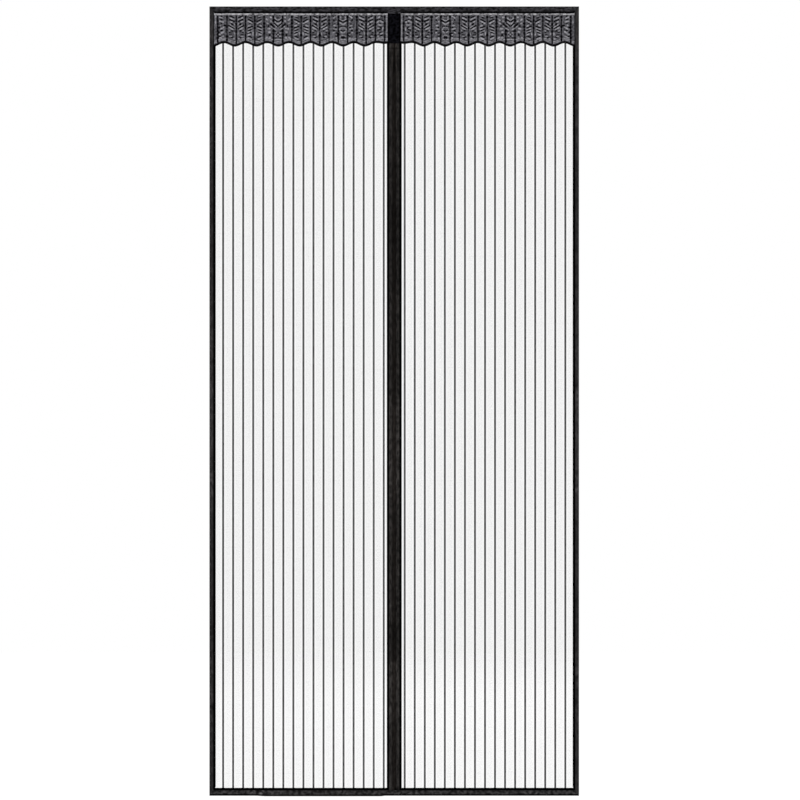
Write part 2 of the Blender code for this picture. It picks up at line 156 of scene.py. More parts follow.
class Shader(ShaderTree):
    """A material with one Principled surface."""

    def __init__(self, name: str) -> None:
        """Start the material with a name."""
        self.material = bpy.data.materials.new(name)
        self.material.use_nodes = True
        super().__init__(self.material.node_tree)
        self.surface = self.tree.nodes["Principled BSDF"]
        self.exit = self.tree.nodes["Material Output"]

    def wave(self, place: Socket, pitch: float, along: str, wander: float = 0.0) -> Socket:
        """Return ridges that repeat along one axis.

        Args:
            place: The coordinates to read, in metres.
            pitch: Distance from ridge to ridge.
            along: X, Y, Z or DIAGONAL.
            wander: How far the ridges bend.

        Returns:
            A height from 0 to 1.
        """
        periods_per_unit = math.tau / 20.0
        inputs = {"Vector": place, "Scale": periods_per_unit / pitch, "Distortion": wander, "Detail": 0.0}
        return self.node("TexWave", {"bands_direction": along}, inputs).outputs["Fac"]

    def cloud(self, place: Socket, size: float, detail: float = 2.0, softness: float = 0.22) -> Socket:
        """Return noise from 0 to 1.

        Args:
            place: The coordinates to read, in metres.
            size: About the size of the blobs.
            detail: How many finer layers it has.
            softness: Small values give blobs with firm edges.

        Returns:
            The noise.
        """
        inputs = {"Vector": place, "Scale": 1.0 / size, "Detail": detail}
        noise_level = self.node("TexNoise", {}, inputs).outputs["Fac"]
        stretched = {"Value": noise_level, "From Min": 0.5 - softness, "From Max": 0.5 + softness}
        return self.node("MapRange", {}, stretched).outputs["Result"]

    def scaled(self, place: Socket, factors: Sequence[float]) -> Socket:
        """Return coordinates stretched by a factor along each axis."""
        made = self.node("VectorMath", {"operation": "MULTIPLY"}, {0: place, 1: tuple(factors)})
        return made.outputs["Vector"]

    def spread(self, value: Socket, low: float, high: float) -> Socket:
        """Map a number from 0..1 to low..high."""
        inputs = {"Value": value, "To Min": low, "To Max": high}
        return self.node("MapRange", {}, inputs).outputs["Result"]

    def tint(self, colour: Sequence[float], factor: Socket) -> Socket:
        """Return a colour made lighter or darker by a factor."""
        made = self.node("VectorMath", {"operation": "SCALE"}, {0: tuple(colour), "Scale": factor})
        return made.outputs["Vector"]

    def bump(self, height: Socket, distance: float, strength: float = 1.0) -> None:
        """Give the surface a relief of the given depth."""
        made = self.node("Bump", {}, {"Height": height, "Distance": distance, "Strength": strength})
        self.tree.links.new(made.outputs["Normal"], self.surface.inputs["Normal"])

    def surface_values(self, **values: object) -> None:
        """Set or link inputs of the Principled surface; an underscore stands for a space."""
        for key, value in values.items():
            self.feed(self.surface.inputs[key.replace("_", " ")], value)

    def place(self, kind: str = "Object") -> Socket:
        """Return the Object or UV coordinates."""
        return self.node("TexCoord").outputs[kind]

    def tone(self) -> Socket:
        """Return the tone that a piece carries on its points."""
        return self.node("Attribute", {"attribute_name": "tone"}).outputs["Fac"]


@dataclass(frozen=True)
class WovenTape:
    """Polyester binding tape in a fine rib weave."""

    name: str
    colour: tuple[float, float, float]
    rib: float = 0.0011
    rib_wander: float = 0.6
    warp: float = 0.00055
    warp_wander: float = 0.4
    warp_floor: float = 0.45
    weave_tones: Pair = (0.80, 1.16)
    relief: float = 0.00012
    roughness: float = 0.80
    specular: float = 0.10
    mottle: float = 0.22
    mottle_length: float = 0.016
    mottle_width: float = 0.006
    mottle_softness: float = 0.12

    def make(self) -> Material:
        """Build the material."""
        shader = Shader(self.name)
        cloth = shader.place("UV")
        ribs = shader.wave(cloth, self.rib, "X", self.rib_wander)
        warps = shader.wave(cloth, self.warp, "Y", self.warp_wander)
        weave = shader.math("MULTIPLY", ribs, shader.spread(warps, self.warp_floor, 1.0))
        stretched = shader.scaled(cloth, (self.mottle_width / self.mottle_length, 1.0, 1.0))
        blobs = shader.cloud(stretched, self.mottle_width, 2.0, self.mottle_softness)
        patchy = shader.spread(blobs, 1.0 - self.mottle, 1.0 + self.mottle)
        fine = shader.spread(weave, *self.weave_tones)
        shade = shader.math("MULTIPLY", shader.math("MULTIPLY", patchy, fine), shader.tone())
        shader.surface_values(
            Base_Color=shader.tint(self.colour, shade),
            Roughness=shader.spread(weave, self.roughness + 0.08, self.roughness - 0.06),
            Specular_IOR_Level=self.specular,
        )
        shader.bump(weave, self.relief)
        return shader.material


@dataclass(frozen=True)
class Yarn:
    """A twisted polyester thread or cord."""

    name: str
    colour: tuple[float, float, float]
    twist: float = 0.0009
    twist_wander: float = 0.5
    relief: float = 0.00004
    roughness: float = 0.85
    contrast: float = 0.25
    blob: float = 0.012
    blob_tones: Pair = (0.88, 1.12)
    specular: float = 0.08

    def make(self) -> Material:
        """Build the material."""
        shader = Shader(self.name)
        place = shader.place()
        plies = shader.wave(place, self.twist, "DIAGONAL", self.twist_wander)
        patchy = shader.cloud(place, self.blob)
        shade = shader.math(
            "MULTIPLY",
            shader.spread(plies, 1.0 - self.contrast, 1.0 + self.contrast),
            shader.spread(patchy, *self.blob_tones),
        )
        shader.surface_values(
            Base_Color=shader.tint(self.colour, shade),
            Roughness=shader.spread(patchy, self.roughness - 0.06, self.roughness + 0.08),
            Specular_IOR_Level=self.specular,
        )
        shader.bump(plies, self.relief)
        return shader.material


@dataclass(frozen=True)
class NetHaze:
    """The finest filling threads of the net, which only dim what lies behind."""

    name: str
    colour: tuple[float, float, float]
    cover: float
    pitch: float = 0.0009
    tones: Pair = (0.7, 1.3)
    relief: float = 0.00003

    def make(self) -> Material:
        """Build the material."""
        shader = Shader(self.name)
        place = shader.place()
        upright = shader.wave(place, self.pitch, "X")
        level = shader.wave(place, self.pitch, "Z")
        mesh = shader.math("MULTIPLY", upright, level)
        shader.surface_values(
            Base_Color=shader.tint(self.colour, shader.spread(mesh, *self.tones)),
            Roughness=0.9,
            Specular_IOR_Level=0.1,
            Alpha=self.cover,
        )
        shader.bump(mesh, self.relief)
        return shader.material


@dataclass(frozen=True)
class Knit:
    """Knitted lace yarn: columns of loops with small shaded gaps between them."""

    name: str
    colour: tuple[float, float, float]
    wale: float = 0.0021
    wale_wander: float = 1.2
    course: float = 0.0016
    course_wander: float = 1.6
    loop_tones: Pair = (0.80, 1.30)
    relief: float = 0.00025
    mottle: float = 0.30
    blob: float = 0.0055
    blob_softness: float = 0.14
    specular: float = 0.10

    def make(self) -> Material:
        """Build the material."""
        shader = Shader(self.name)
        place = shader.place()
        wales = shader.wave(place, self.wale, "X", self.wale_wander)
        courses = shader.wave(place, self.course, "Z", self.course_wander)
        loops = shader.math("MULTIPLY", wales, courses)
        patchy = shader.cloud(place, self.blob, 2.0, self.blob_softness)
        shade = shader.math(
            "MULTIPLY",
            shader.spread(loops, *self.loop_tones),
            shader.spread(patchy, 1.0 - self.mottle, 1.0 + self.mottle),
        )
        shader.surface_values(
            Base_Color=shader.tint(self.colour, shade),
            Roughness=shader.spread(patchy, 0.78, 0.92),
            Specular_IOR_Level=self.specular,
        )
        shader.bump(loops, self.relief)
        return shader.material


@dataclass(frozen=True)
class Pile:
    """The looped side of the fastening tape."""

    name: str
    colour: tuple[float, float, float]
    tuft: float = 0.0011
    tones: Pair = (0.4, 1.7)
    relief: float = 0.0003

    def make(self) -> Material:
        """Build the material."""
        shader = Shader(self.name)
        tufts = shader.cloud(shader.place(), self.tuft, 3.0)
        shader.surface_values(
            Base_Color=shader.tint(self.colour, shader.spread(tufts, *self.tones)),
            Roughness=shader.spread(tufts, 0.85, 1.0),
            Specular_IOR_Level=0.15,
            Sheen_Weight=0.15,
            Sheen_Roughness=0.6,
        )
        shader.bump(tufts, self.relief)
        return shader.material


@dataclass(frozen=True)
class Ferrite:
    """Sintered ferrite with ground faces and small pits."""

    name: str
    colour: tuple[float, float, float]
    grain: float = 0.0006
    tones: Pair = (0.6, 1.5)
    grinding: float = 0.0004
    grinding_share: float = 0.3
    relief: float = 0.00006

    def make(self) -> Material:
        """Build the material."""
        shader = Shader(self.name)
        place = shader.place()
        grain = shader.cloud(place, self.grain, 4.0)
        ground = shader.wave(place, self.grinding, "Z", 2.0)
        shader.surface_values(
            Base_Color=shader.tint(self.colour, shader.spread(grain, *self.tones)),
            Roughness=shader.spread(grain, 0.40, 0.70),
            Metallic=0.35,
        )
        marks = shader.math("MULTIPLY", ground, self.grinding_share)
        shader.bump(shader.math("ADD", grain, marks), self.relief)
        return shader.material


@dataclass(frozen=True)
class PaleFloor:
    """A pale floor that keeps a faint shadow and looks white to the camera."""

    name: str = "studio_floor"
    glow: float = 0.90
    colour: float = 0.20
    bounce: float = 0.55
    speckle: float = 0.05

    def make(self) -> Material:
        """Build the material: soft diffuse grey, plus a glow for the rays that show it."""
        shader = Shader(self.name)
        place = shader.place()
        shown = shader.background_rays()
        speckle = shader.spread(shader.cloud(place, self.speckle), 0.97, 1.03)
        matt = shader.node("BsdfDiffuse", {}, {"Color": shader.tint((self.colour,) * 3, speckle)})
        pale = shader.node("BsdfDiffuse", {}, {"Color": shader.tint((self.bounce,) * 3, speckle)})
        light = shader.node("Emission", {}, {"Color": (1.0, 1.0, 1.0, 1.0), "Strength": self.glow})
        lit = shader.node("AddShader", {}, {0: matt.outputs[0], 1: light.outputs[0]})
        either = shader.node("MixShader", {}, {0: shown, 1: pale.outputs[0], 2: lit.outputs[0]})
        shader.tree.links.new(either.outputs[0], shader.exit.inputs["Surface"])
        return shader.material


# Geometry Nodes building


class GeometryTree(NodeTree):
    """A Geometry Nodes tree with named inputs, run once on a source object."""

    def __init__(self, name: str) -> None:
        """Start a tree with a name that takes and gives one geometry."""
        super().__init__(bpy.data.node_groups.new(name, "GeometryNodeTree"))
        self.keys: dict[str, str] = {}
        self.sockets = self.tree.interface
        for way in ("INPUT", "OUTPUT"):
            self.sockets.new_socket(name="Geometry", in_out=way, socket_type="NodeSocketGeometry")
        self.entry = self.node("NodeGroupInput")
        self.exit = self.node("NodeGroupOutput")

    def declare(self, kind: str, *names: str) -> None:
        """Add named inputs of one kind, such as Float, Int or Material."""
        for name in names:
            made = self.sockets.new_socket(name=name, in_out="INPUT", socket_type="NodeSocket" + kind)
            self.keys[name] = made.identifier

    def given(self, name: str) -> Socket:
        """Return the socket of a named input."""
        return self.entry.outputs[name]

    def close(self, geometry: Socket) -> None:
        """Realize what the tree has made, give it its material and end the tree."""
        solid = self.node("GeometryNodeRealizeInstances", {}, {"Geometry": geometry})
        inputs = {"Geometry": solid.outputs[0], "Material": self.given("Material")}
        dressed = self.node("GeometryNodeSetMaterial", {}, inputs)
        self.feed(self.exit.inputs[0], dressed.outputs[0])

    def run(self, name: str, source: Piece, values: dict) -> Piece:
        """Run the tree on a source object and keep the result as a plain mesh.

        Args:
            name: The new piece's name.
            source: The object that the tree reads, which is deleted.
            values: The named inputs' values.

        Returns:
            The new piece.
        """
        modifier = source.modifiers.new("tree", "NODES")
        modifier.node_group = self.tree
        for key, value in values.items():
            modifier[self.keys[key]] = value
        return keep_result(name, source)


def keep_result(name: str, source: Piece) -> Piece:
    """Turn an object with its modifiers into a plain mesh object.

    Args:
        name: The new object's name.
        source: The object, which is deleted.

    Returns:
        The new object.
    """
    bpy.context.view_layer.update()
    graph = bpy.context.evaluated_depsgraph_get()
    mesh = bpy.data.meshes.new_from_object(source.evaluated_get(graph))
    mesh.name = name
    bpy.data.objects.remove(source)
    piece = bpy.data.objects.new(name, mesh)
    bpy.context.scene.collection.objects.link(piece)
    return piece


class CordTree(GeometryTree):
    """Sweeps every path of a source into a round cord with closed ends."""

    wander_scale = 60.0

    def __init__(self) -> None:
        """Build the tree: paths, a little wander, round section, material."""
        super().__init__("cords")
        self.declare("Float", "Radius", "Wander")
        self.declare("Int", "Sides")
        self.declare("Material", "Material")
        paths = self.node("GeometryNodeMeshToCurve", {}, {"Mesh": self.given("Geometry")})
        place = self.node("GeometryNodeInputPosition")
        cloud_inputs = {"Vector": place.outputs[0], "Scale": self.wander_scale, "Detail": 1.0}
        cloud = self.node("ShaderNodeTexNoise", {}, cloud_inputs)
        centred = self.node("ShaderNodeVectorMath", {"operation": "SUBTRACT"}, {0: cloud.outputs["Color"]})
        centred.inputs[1].default_value = (0.5, 0.5, 0.5)
        shift_inputs = {0: centred.outputs[0], "Scale": self.given("Wander")}
        shift = self.node("ShaderNodeVectorMath", {"operation": "SCALE"}, shift_inputs)
        moved = self.node(
            "GeometryNodeSetPosition", {}, {"Geometry": paths.outputs[0], "Offset": shift.outputs[0]}
        )
        ring = self.node(
            "GeometryNodeCurvePrimitiveCircle",
            {},
            {"Resolution": self.given("Sides"), "Radius": self.given("Radius")},
        )
        cords = self.node(
            "GeometryNodeCurveToMesh",
            {},
            {"Curve": moved.outputs[0], "Profile Curve": ring.outputs[0], "Fill Caps": True},
        )
        self.close(cords.outputs[0])

    def lay(
        self,
        name: str,
        paths: list[Path],
        radius: float,
        material: Material,
        sides: int = 6,
        wander: float = 0.0,
    ) -> Piece:
        """Make one piece of cords along the paths."""
        values = {"Radius": radius, "Wander": wander, "Sides": sides, "Material": material}
        return self.run(name, path_object(paths), values)


@dataclass(frozen=True)
class Stitch:
    """The sizes of one kind of stitch."""

    pitch: float = 0.0040
    length: float = 0.0032
    radius: float = 0.00022


class StitchTree(GeometryTree):
    """Lays short rounded stitches along every path of a source."""

    points = 4
    sides = 4
    swell_end = 0.33
    tip_girth = 0.45

    def __init__(self) -> None:
        """Build the tree: even points on the paths, one stitch on each."""
        super().__init__("stitches")
        self.declare("Float", "Pitch", "Length", "Radius")
        self.declare("Material", "Material")
        paths = self.node("GeometryNodeMeshToCurve", {}, {"Mesh": self.given("Geometry")})
        even = self.node(
            "GeometryNodeResampleCurve",
            {"mode": "LENGTH"},
            {"Curve": paths.outputs[0], "Length": self.given("Pitch")},
        )
        end = self.node("ShaderNodeCombineXYZ", {}, {"X": self.given("Length")})
        centre = self.node("ShaderNodeVectorMath", {"operation": "SCALE"}, {0: end.outputs[0], "Scale": -0.5})
        line = self.node("GeometryNodeCurvePrimitiveLine", {}, {"End": end.outputs[0]})
        bead_inputs = {"Curve": line.outputs[0], "Count": self.points}
        beads = self.node("GeometryNodeResampleCurve", {"mode": "COUNT"}, bead_inputs)
        part = self.node("GeometryNodeSplineParameter").outputs["Factor"]
        swell = self.node("ShaderNodeMath", {"operation": "PINGPONG"}, {0: part, 1: 0.5})
        size_inputs = {"Value": swell.outputs[0], "From Max": self.swell_end, "To Min": self.tip_girth}
        size = self.node("ShaderNodeMapRange", {}, size_inputs)
        girth = self.node(
            "GeometryNodeSetCurveRadius", {}, {"Curve": beads.outputs[0], "Radius": size.outputs["Result"]}
        )
        ring = self.node(
            "GeometryNodeCurvePrimitiveCircle", {}, {"Resolution": self.sides, "Radius": self.given("Radius")}
        )
        sweep_inputs = {"Curve": girth.outputs[0], "Profile Curve": ring.outputs[0], "Fill Caps": True}
        sweep_inputs["Scale"] = self.node("GeometryNodeInputRadius").outputs[0]
        stitch = self.node("GeometryNodeCurveToMesh", {}, sweep_inputs)
        placed = self.node(
            "GeometryNodeSetPosition", {}, {"Geometry": stitch.outputs[0], "Offset": centre.outputs[0]}
        )
        tangent = self.node("GeometryNodeInputTangent")
        turn = self.node("FunctionNodeAlignRotationToVector", {"axis": "X"}, {"Vector": tangent.outputs[0]})
        row = self.node(
            "GeometryNodeInstanceOnPoints",
            {},
            {"Points": even.outputs[0], "Instance": placed.outputs[0], "Rotation": turn.outputs[0]},
        )
        self.close(row.outputs[0])

    def sew(self, name: str, paths: list[Path], stitch: "Stitch", material: Material) -> Piece:
        """Make one piece of stitches.

        Args:
            name: The piece's name.
            paths: The seams' points.
            stitch: The sizes of one stitch.
            material: The thread's material.

        Returns:
            The piece.
        """
        values = {"Pitch": stitch.pitch, "Length": stitch.length, "Radius": stitch.radius}
        made = self.run(name, path_object(paths), {**values, "Material": material})
        smooth(made, 60.0)
        return made


class PileTree(GeometryTree):
    """Scatters small standing loops over the faces of a source."""

    densest = 400000.0
    loop_start = -0.5
    loop_sweep = 4.1
    lean = 0.5

    def __init__(self) -> None:
        """Build the tree: scattered points, one turned loop on each."""
        super().__init__("pile")
        self.declare("Float", "Spacing", "Loop Height", "Radius")
        self.declare("Int", "Seed")
        self.declare("Material", "Material")
        scatter = self.node(
            "GeometryNodeDistributePointsOnFaces",
            {"distribute_method": "POISSON"},
            {
                "Mesh": self.given("Geometry"),
                "Distance Min": self.given("Spacing"),
                "Density Max": self.densest,
                "Seed": self.given("Seed"),
            },
        )
        angles = {"Start Angle": self.loop_start, "Sweep Angle": self.loop_sweep}
        arc_inputs = {"Resolution": 6, "Radius": self.given("Loop Height"), **angles}
        arc = self.node("GeometryNodeCurveArc", {}, arc_inputs)
        ring = self.node(
            "GeometryNodeCurvePrimitiveCircle", {}, {"Resolution": 3, "Radius": self.given("Radius")}
        )
        loop = self.node(
            "GeometryNodeCurveToMesh",
            {},
            {"Curve": arc.outputs[0], "Profile Curve": ring.outputs[0], "Fill Caps": True},
        )
        most = (self.lean, math.pi, self.lean)
        least = tuple(-angle for angle in most)
        spin_inputs = {"Min": least, "Max": most, "Seed": self.given("Seed")}
        spin = self.node("FunctionNodeRandomValue", {"data_type": "FLOAT_VECTOR"}, spin_inputs)
        stand = self.node(
            "GeometryNodeInstanceOnPoints",
            {},
            {"Points": scatter.outputs["Points"], "Instance": loop.outputs[0], "Rotation": spin.outputs[0]},
        )
        self.close(stand.outputs[0])


def path_object(paths: list[Path]) -> Piece:
    """Make a temporary object whose edges are the paths.

    Args:
        paths: The points of each path in order.

    Returns:
        The object.
    """
    points: Path = []
    edges: list[tuple[int, int]] = []
    for path in paths:
        start = len(points)
        points += path
        edges += [(start + n, start + n + 1) for n in range(len(path) - 1)]
    mesh = bpy.data.meshes.new("paths")
    mesh.from_pydata(points, edges, [])
    made = bpy.data.objects.new("paths", mesh)
    bpy.context.scene.collection.objects.link(made)
    return made


# Mesh building


def object_from_bmesh(name: str, bm: bmesh.types.BMesh, materials: Sequence[Material]) -> Piece:
    """Turn a bmesh into an object.

    Args:
        name: The object's name.
        bm: The bmesh, which is freed.
        materials: The object's materials in order.

    Returns:
        The object.
    """
    mesh = bpy.data.meshes.new(name)
    bm.to_mesh(mesh)
    bm.free()
    for material in materials:
        mesh.materials.append(material)
    made = bpy.data.objects.new(name, mesh)
    bpy.context.scene.collection.objects.link(made)
    return made


def smooth(piece: Piece, angle: float = 42.0) -> None:
    """Shade a piece smooth, apart from edges sharper than an angle in degrees."""
    mesh = piece.data
    mesh.polygons.foreach_set("use_smooth", [True] * len(mesh.polygons))
    mesh.set_sharp_from_angle(angle=math.radians(angle))
    mesh.update()


def point_outward(piece: Piece) -> None:
    """Turn every face of a closed piece outward."""
    bm = bmesh.new()
    bm.from_mesh(piece.data)
    bmesh.ops.recalc_face_normals(bm, faces=bm.faces)
    bm.to_mesh(piece.data)
    bm.free()


def give_thickness(piece: Piece, thickness: float) -> Piece:
    """Make a closed wall from an open sheet, with the sheet in its middle.

    Args:
        piece: The sheet, which is deleted.
        thickness: The wall's thickness.

    Returns:
        The wall, with the sheet's name.
    """
    name = piece.name
    piece.name = name + "_sheet"
    wall = piece.modifiers.new("wall", "SOLIDIFY")
    wall.thickness = thickness
    wall.offset = 0.0
    wall.use_even_offset = True
    made = keep_result(name, piece)
    point_outward(made)
    return made


def dress(piece: Piece, slot: Slot, nodes: Sequence[str] = ()) -> Piece:
    """Fix a finished piece to the frame.

    Args:
        piece: The piece, in its place.
        slot: The record's slot, which is only logged.
        nodes: The solids that it stands for.

    Returns:
        The same piece.
    """
    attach(piece, BODY)
    if nodes:
        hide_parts(*nodes)
    LOG.info("%s: %d faces, slot %s", piece.name, len(piece.data.polygons), slot.value)
    return piece


def cut_plate(outlines: list[Outline], holes: list[Outline]) -> tuple[Outline, list[list[int]]]:
    """Fill outlines with triangles, apart from the holes; both may overlap.

    Args:
        outlines: The corners of each part of the plate in order.
        holes: The corners of each hole in order.

    Returns:
        The points, and the triangles as point numbers.
    """
    points: Path = []
    faces: list[list[int]] = []
    for loop in [*outlines, *holes]:
        faces.append(list(range(len(points), len(points) + len(loop))))
        points += [Vector(corner) for corner in loop]
    verts, _, tris, _, _, sources = delaunay_2d_cdt(points, [], faces, 1, 1e-7, True)
    kept = [tri for tri, origin in zip(tris, sources) if origin and max(origin) < len(outlines)]
    return [(vert.x, vert.y) for vert in verts], kept


def smoothstep(low: float, high: float, value: float) -> float:
    """Return a soft step from 0 to 1 between two values."""
    part = min(max((value - low) / (high - low), 0.0), 1.0)
    return part * part * (3.0 - 2.0 * part)


# The frame's measures


@dataclass(frozen=True)
class Layout:
    """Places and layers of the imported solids, read from the frame."""

    top: float
    bottom: float
    half_width: float
    tape: float
    back_mid: float
    net_mid: float
    front_mid: float
    lace_back: float
    top_front_mid: float
    channel_mid: float
    patch_mid: float
    patch_bottom: float
    patch_half: float
    centre_top: float
    lace_inner: float
    lace_outer: float
    lace_low: float
    net_inner: float
    net_outer: float
    net_bottom: float
    net_top: float
    top_leaf: float = 0.0134
    side_leaf: float = 0.0100
    bottom_leaf: float = 0.0141
    centre_leaf: float = 0.0136
    back_leaf_extra: float = 0.0056

    @classmethod
    def from_frame(cls, tape: float = 0.0006, net: float = 0.0005) -> "Layout":
        """Read the boxes of the solids.

        Args:
            tape: Thickness of the tapes.
            net: Thickness of the net.

        Returns:
            The layout.
        """
        top_low, top_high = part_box("top_binding")
        side_low, side_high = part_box("right_side_binding")
        centre_low, centre_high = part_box("right_centre_binding")
        patch_low, patch_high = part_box("centre_patch")
        lace_low, lace_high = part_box("right_valance")
        net_low, net_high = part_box("right_mesh")
        half = tape / 2
        return cls(
            top=top_high.z,
            bottom=side_low.z,
            half_width=side_high.x,
            tape=tape,
            back_mid=-side_high.y + half,
            net_mid=-net_high.y + net / 2,
            front_mid=-side_low.y - half,
            lace_back=-lace_high.y,
            top_front_mid=-top_low.y - half,
            channel_mid=-centre_low.y - half,
            patch_mid=-patch_low.y - half,
            patch_bottom=patch_low.z,
            patch_half=patch_high.x,
            centre_top=centre_high.z,
            lace_inner=lace_low.x,
            lace_outer=lace_high.x,
            lace_low=lace_low.z,
            net_inner=net_low.x,
            net_outer=net_high.x,
            net_bottom=net_low.z,
            net_top=net_high.z,
        )

    def across(self, along: float, inward: float, depth: float) -> Vector:
        """Turn a place on a tape that lies across the screen's top into a point."""
        return Vector((along, -depth, self.top - inward))


# Bindings


@dataclass(frozen=True)
class Stretch:
    """One stretch of a tape with its own tone, between two distances along it."""

    start: float
    end: float
    tone: float


@dataclass(frozen=True)
class Crease:
    """A cluster of small puckers round one place along a tape, with painted highlights and painted shade on
    them.
    """

    middle: float
    reach: float
    height: float
    painted_crease_shading: float = 0.0


@dataclass(frozen=True)
class Pucker:
    """How a sewn tape lies: gentle ripples everywhere, and clusters of creases."""

    seed: float
    stretches: tuple[Stretch, ...] = ()
    creases: tuple[Crease, ...] = ()
    ripple: float = 0.00010
    blend: float = 0.012
    mottle: float = 0.22
    mottle_along: float = 42.0
    mottle_across: float = 60.0
    crease_along: float = 95.0
    crease_across: float = 70.0
    fine_along: float = 190.0
    fine_across: float = 90.0
    broad_along: float = 34.0
    broad_across: float = 25.0
    broad_share: float = 1.4
    darkest: float = 0.2

    def strength(self, along: float) -> tuple[float, float]:
        """Work out how strong the creases are at one place.

        Args:
            along: The distance along the tape.

        Returns:
            The creases' height and the strength of their painted highlights and shade.
        """
        height = 0.0
        painted_crease_shading = 0.0
        for crease in self.creases:
            nearness = max(0.0, 1.0 - abs(along - crease.middle) / crease.reach)
            height = max(height, crease.height * nearness)
            painted_crease_shading = max(painted_crease_shading, crease.painted_crease_shading * nearness)
        return height, painted_crease_shading

    def rise(self, along: float, across: float) -> float:
        """Return how far the tape stands proud at a place on it."""
        height, _ = self.strength(along)
        fine = noise.noise(Vector((along * self.fine_along, across * self.fine_across, self.seed)))
        place = Vector((along * self.broad_along, across * self.broad_across, self.seed + 7.3))
        return self.ripple * noise.noise(place) * self.broad_share + height * fine

    def tone(self, along: float, across: float) -> float:
        """Work out how light the tape is at a place on it: its own tone, with painted highlights and painted
        shade at the creases.

        Args:
            along: The distance along the tape.
            across: The distance from the bound edge.

        Returns:
            A factor on the tape's colour.
        """
        level = 1.0
        for stretch in self.stretches:
            inside = smoothstep(stretch.start - self.blend, stretch.start + self.blend, along)
            inside *= 1.0 - smoothstep(stretch.end - self.blend, stretch.end + self.blend, along)
            level += (stretch.tone - 1.0) * inside
        _, painted_crease_shading = self.strength(along)
        # Spots of painted highlight and painted shade over the creases.
        spot = noise.noise(Vector((along * self.crease_along, across * self.crease_across, self.seed + 3.1)))
        place = Vector((along * self.mottle_along, across * self.mottle_across, self.seed + 5.7))
        broad = noise.noise(place)
        return max(self.darkest, level * (1.0 + 2.0 * self.mottle * broad) + 2.0 * painted_crease_shading * spot)


@dataclass(frozen=True)
class Knee:
    """A corner of a tape's section, seen along the tape."""

    inward: float
    depth: float
    front: bool


@dataclass
class FoldedTape:
    """One length of tape folded round an edge, with its seams."""

    name: str
    knees: list[Knee]
    ends: Callable[[float, bool], Point]
    place: Callable[[float, float, float], Vector]
    pucker: Pucker
    thickness: float
    zone: Callable[[float, bool], int] = lambda inward, front: 0
    shade: Callable[[float, float], float] = lambda along, inward: 1.0
    row_step: float = 0.0045
    cross_step: float = 0.0018
    seam_step: float = 0.008
    cloth_shift: float = 0.1
    back_share: float = 0.35

    def section(self) -> list[Knee]:
        """Return the section with enough points for the creases to show."""
        dense = [self.knees[0]]
        for last, knee in zip(self.knees, self.knees[1:]):
            span = math.hypot(knee.inward - last.inward, knee.depth - last.depth)
            steps = max(1, math.ceil(span / self.cross_step))
            for n in range(1, steps + 1):
                part = n / steps
                inward = last.inward + (knee.inward - last.inward) * part
                depth = last.depth + (knee.depth - last.depth) * part
                dense.append(Knee(inward, depth, knee.front))
        return dense

    def lift(self, along: float, knee: Knee) -> float:
        """Return the depth of the creased tape at a point of its section."""
        way = 1.0 if knee.front else -self.back_share
        return knee.depth + way * self.pucker.rise(along, knee.inward)

    def build(self, materials: Sequence[Material]) -> Piece:
        """Sweep the section from end to end and give the tape its thickness.

        Args:
            materials: The tape's materials, numbered as its zones are.

        Returns:
            The closed piece.
        """
        section = self.section()
        spans = [self.ends(knee.inward, knee.front) for knee in section]
        rows = max(2, round(abs(spans[0][1] - spans[0][0]) / self.row_step))
        across = [0.0]
        for last, knee in zip(section, section[1:]):
            across.append(across[-1] + math.hypot(knee.inward - last.inward, knee.depth - last.depth))
        bm = bmesh.new()
        tone_layer = bm.verts.layers.float.new("tone")
        uv_layer = bm.loops.layers.uv.new("cloth")
        grid: list[list[bmesh.types.BMVert]] = []
        cloth: dict[bmesh.types.BMVert, Point] = {}
        shift = self.pucker.seed * self.cloth_shift
        for row in range(rows + 1):
            line = []
            for column, knee in enumerate(section):
                start, end = spans[column]
                along = start + (end - start) * row / rows
                vert = bm.verts.new(self.place(along, knee.inward, self.lift(along, knee)))
                vert[tone_layer] = self.pucker.tone(along, knee.inward) * self.shade(along, knee.inward)
                cloth[vert] = (along + shift, across[column])
                line.append(vert)
            grid.append(line)
        for lower, upper in zip(grid, grid[1:]):
            for column in range(len(section) - 1):
                face = bm.faces.new((lower[column], lower[column + 1], upper[column + 1], upper[column]))
                middle = (section[column].inward + section[column + 1].inward) / 2
                face.material_index = self.zone(middle, section[column + 1].front)
                for corner in face.loops:
                    corner[uv_layer].uv = cloth[corner.vert]
        made = give_thickness(object_from_bmesh(self.name, bm, materials), self.thickness)
        smooth(made)
        return made

    def seam(self, inward: float, proud: float, inset: float = 0.004, front: bool = True) -> Path:
        """Return a seam's path along the tape.

        Args:
            inward: The seam's distance from the bound edge.
            proud: How far the thread's middle lies above the tape's middle.
            inset: How far the seam stops short of the tape's ends.
            front: Whether the seam runs on the front leaf.

        Returns:
            The seam's points.
        """
        start, end = self.ends(inward, front)
        way = 1.0 if end > start else -1.0
        start += way * inset
        end -= way * inset
        steps = max(2, round(abs(end - start) / self.seam_step))
        leaf = [knee for knee in self.section() if knee.front == front]
        nearest = min(leaf, key=lambda knee: abs(knee.inward - inward))
        knee = Knee(inward, nearest.depth, front)
        points = []
        for n in range(steps + 1):
            along = start + (end - start) * n / steps
            points.append(self.place(along, inward, self.lift(along, knee) + (proud if front else -proud)))
        return points


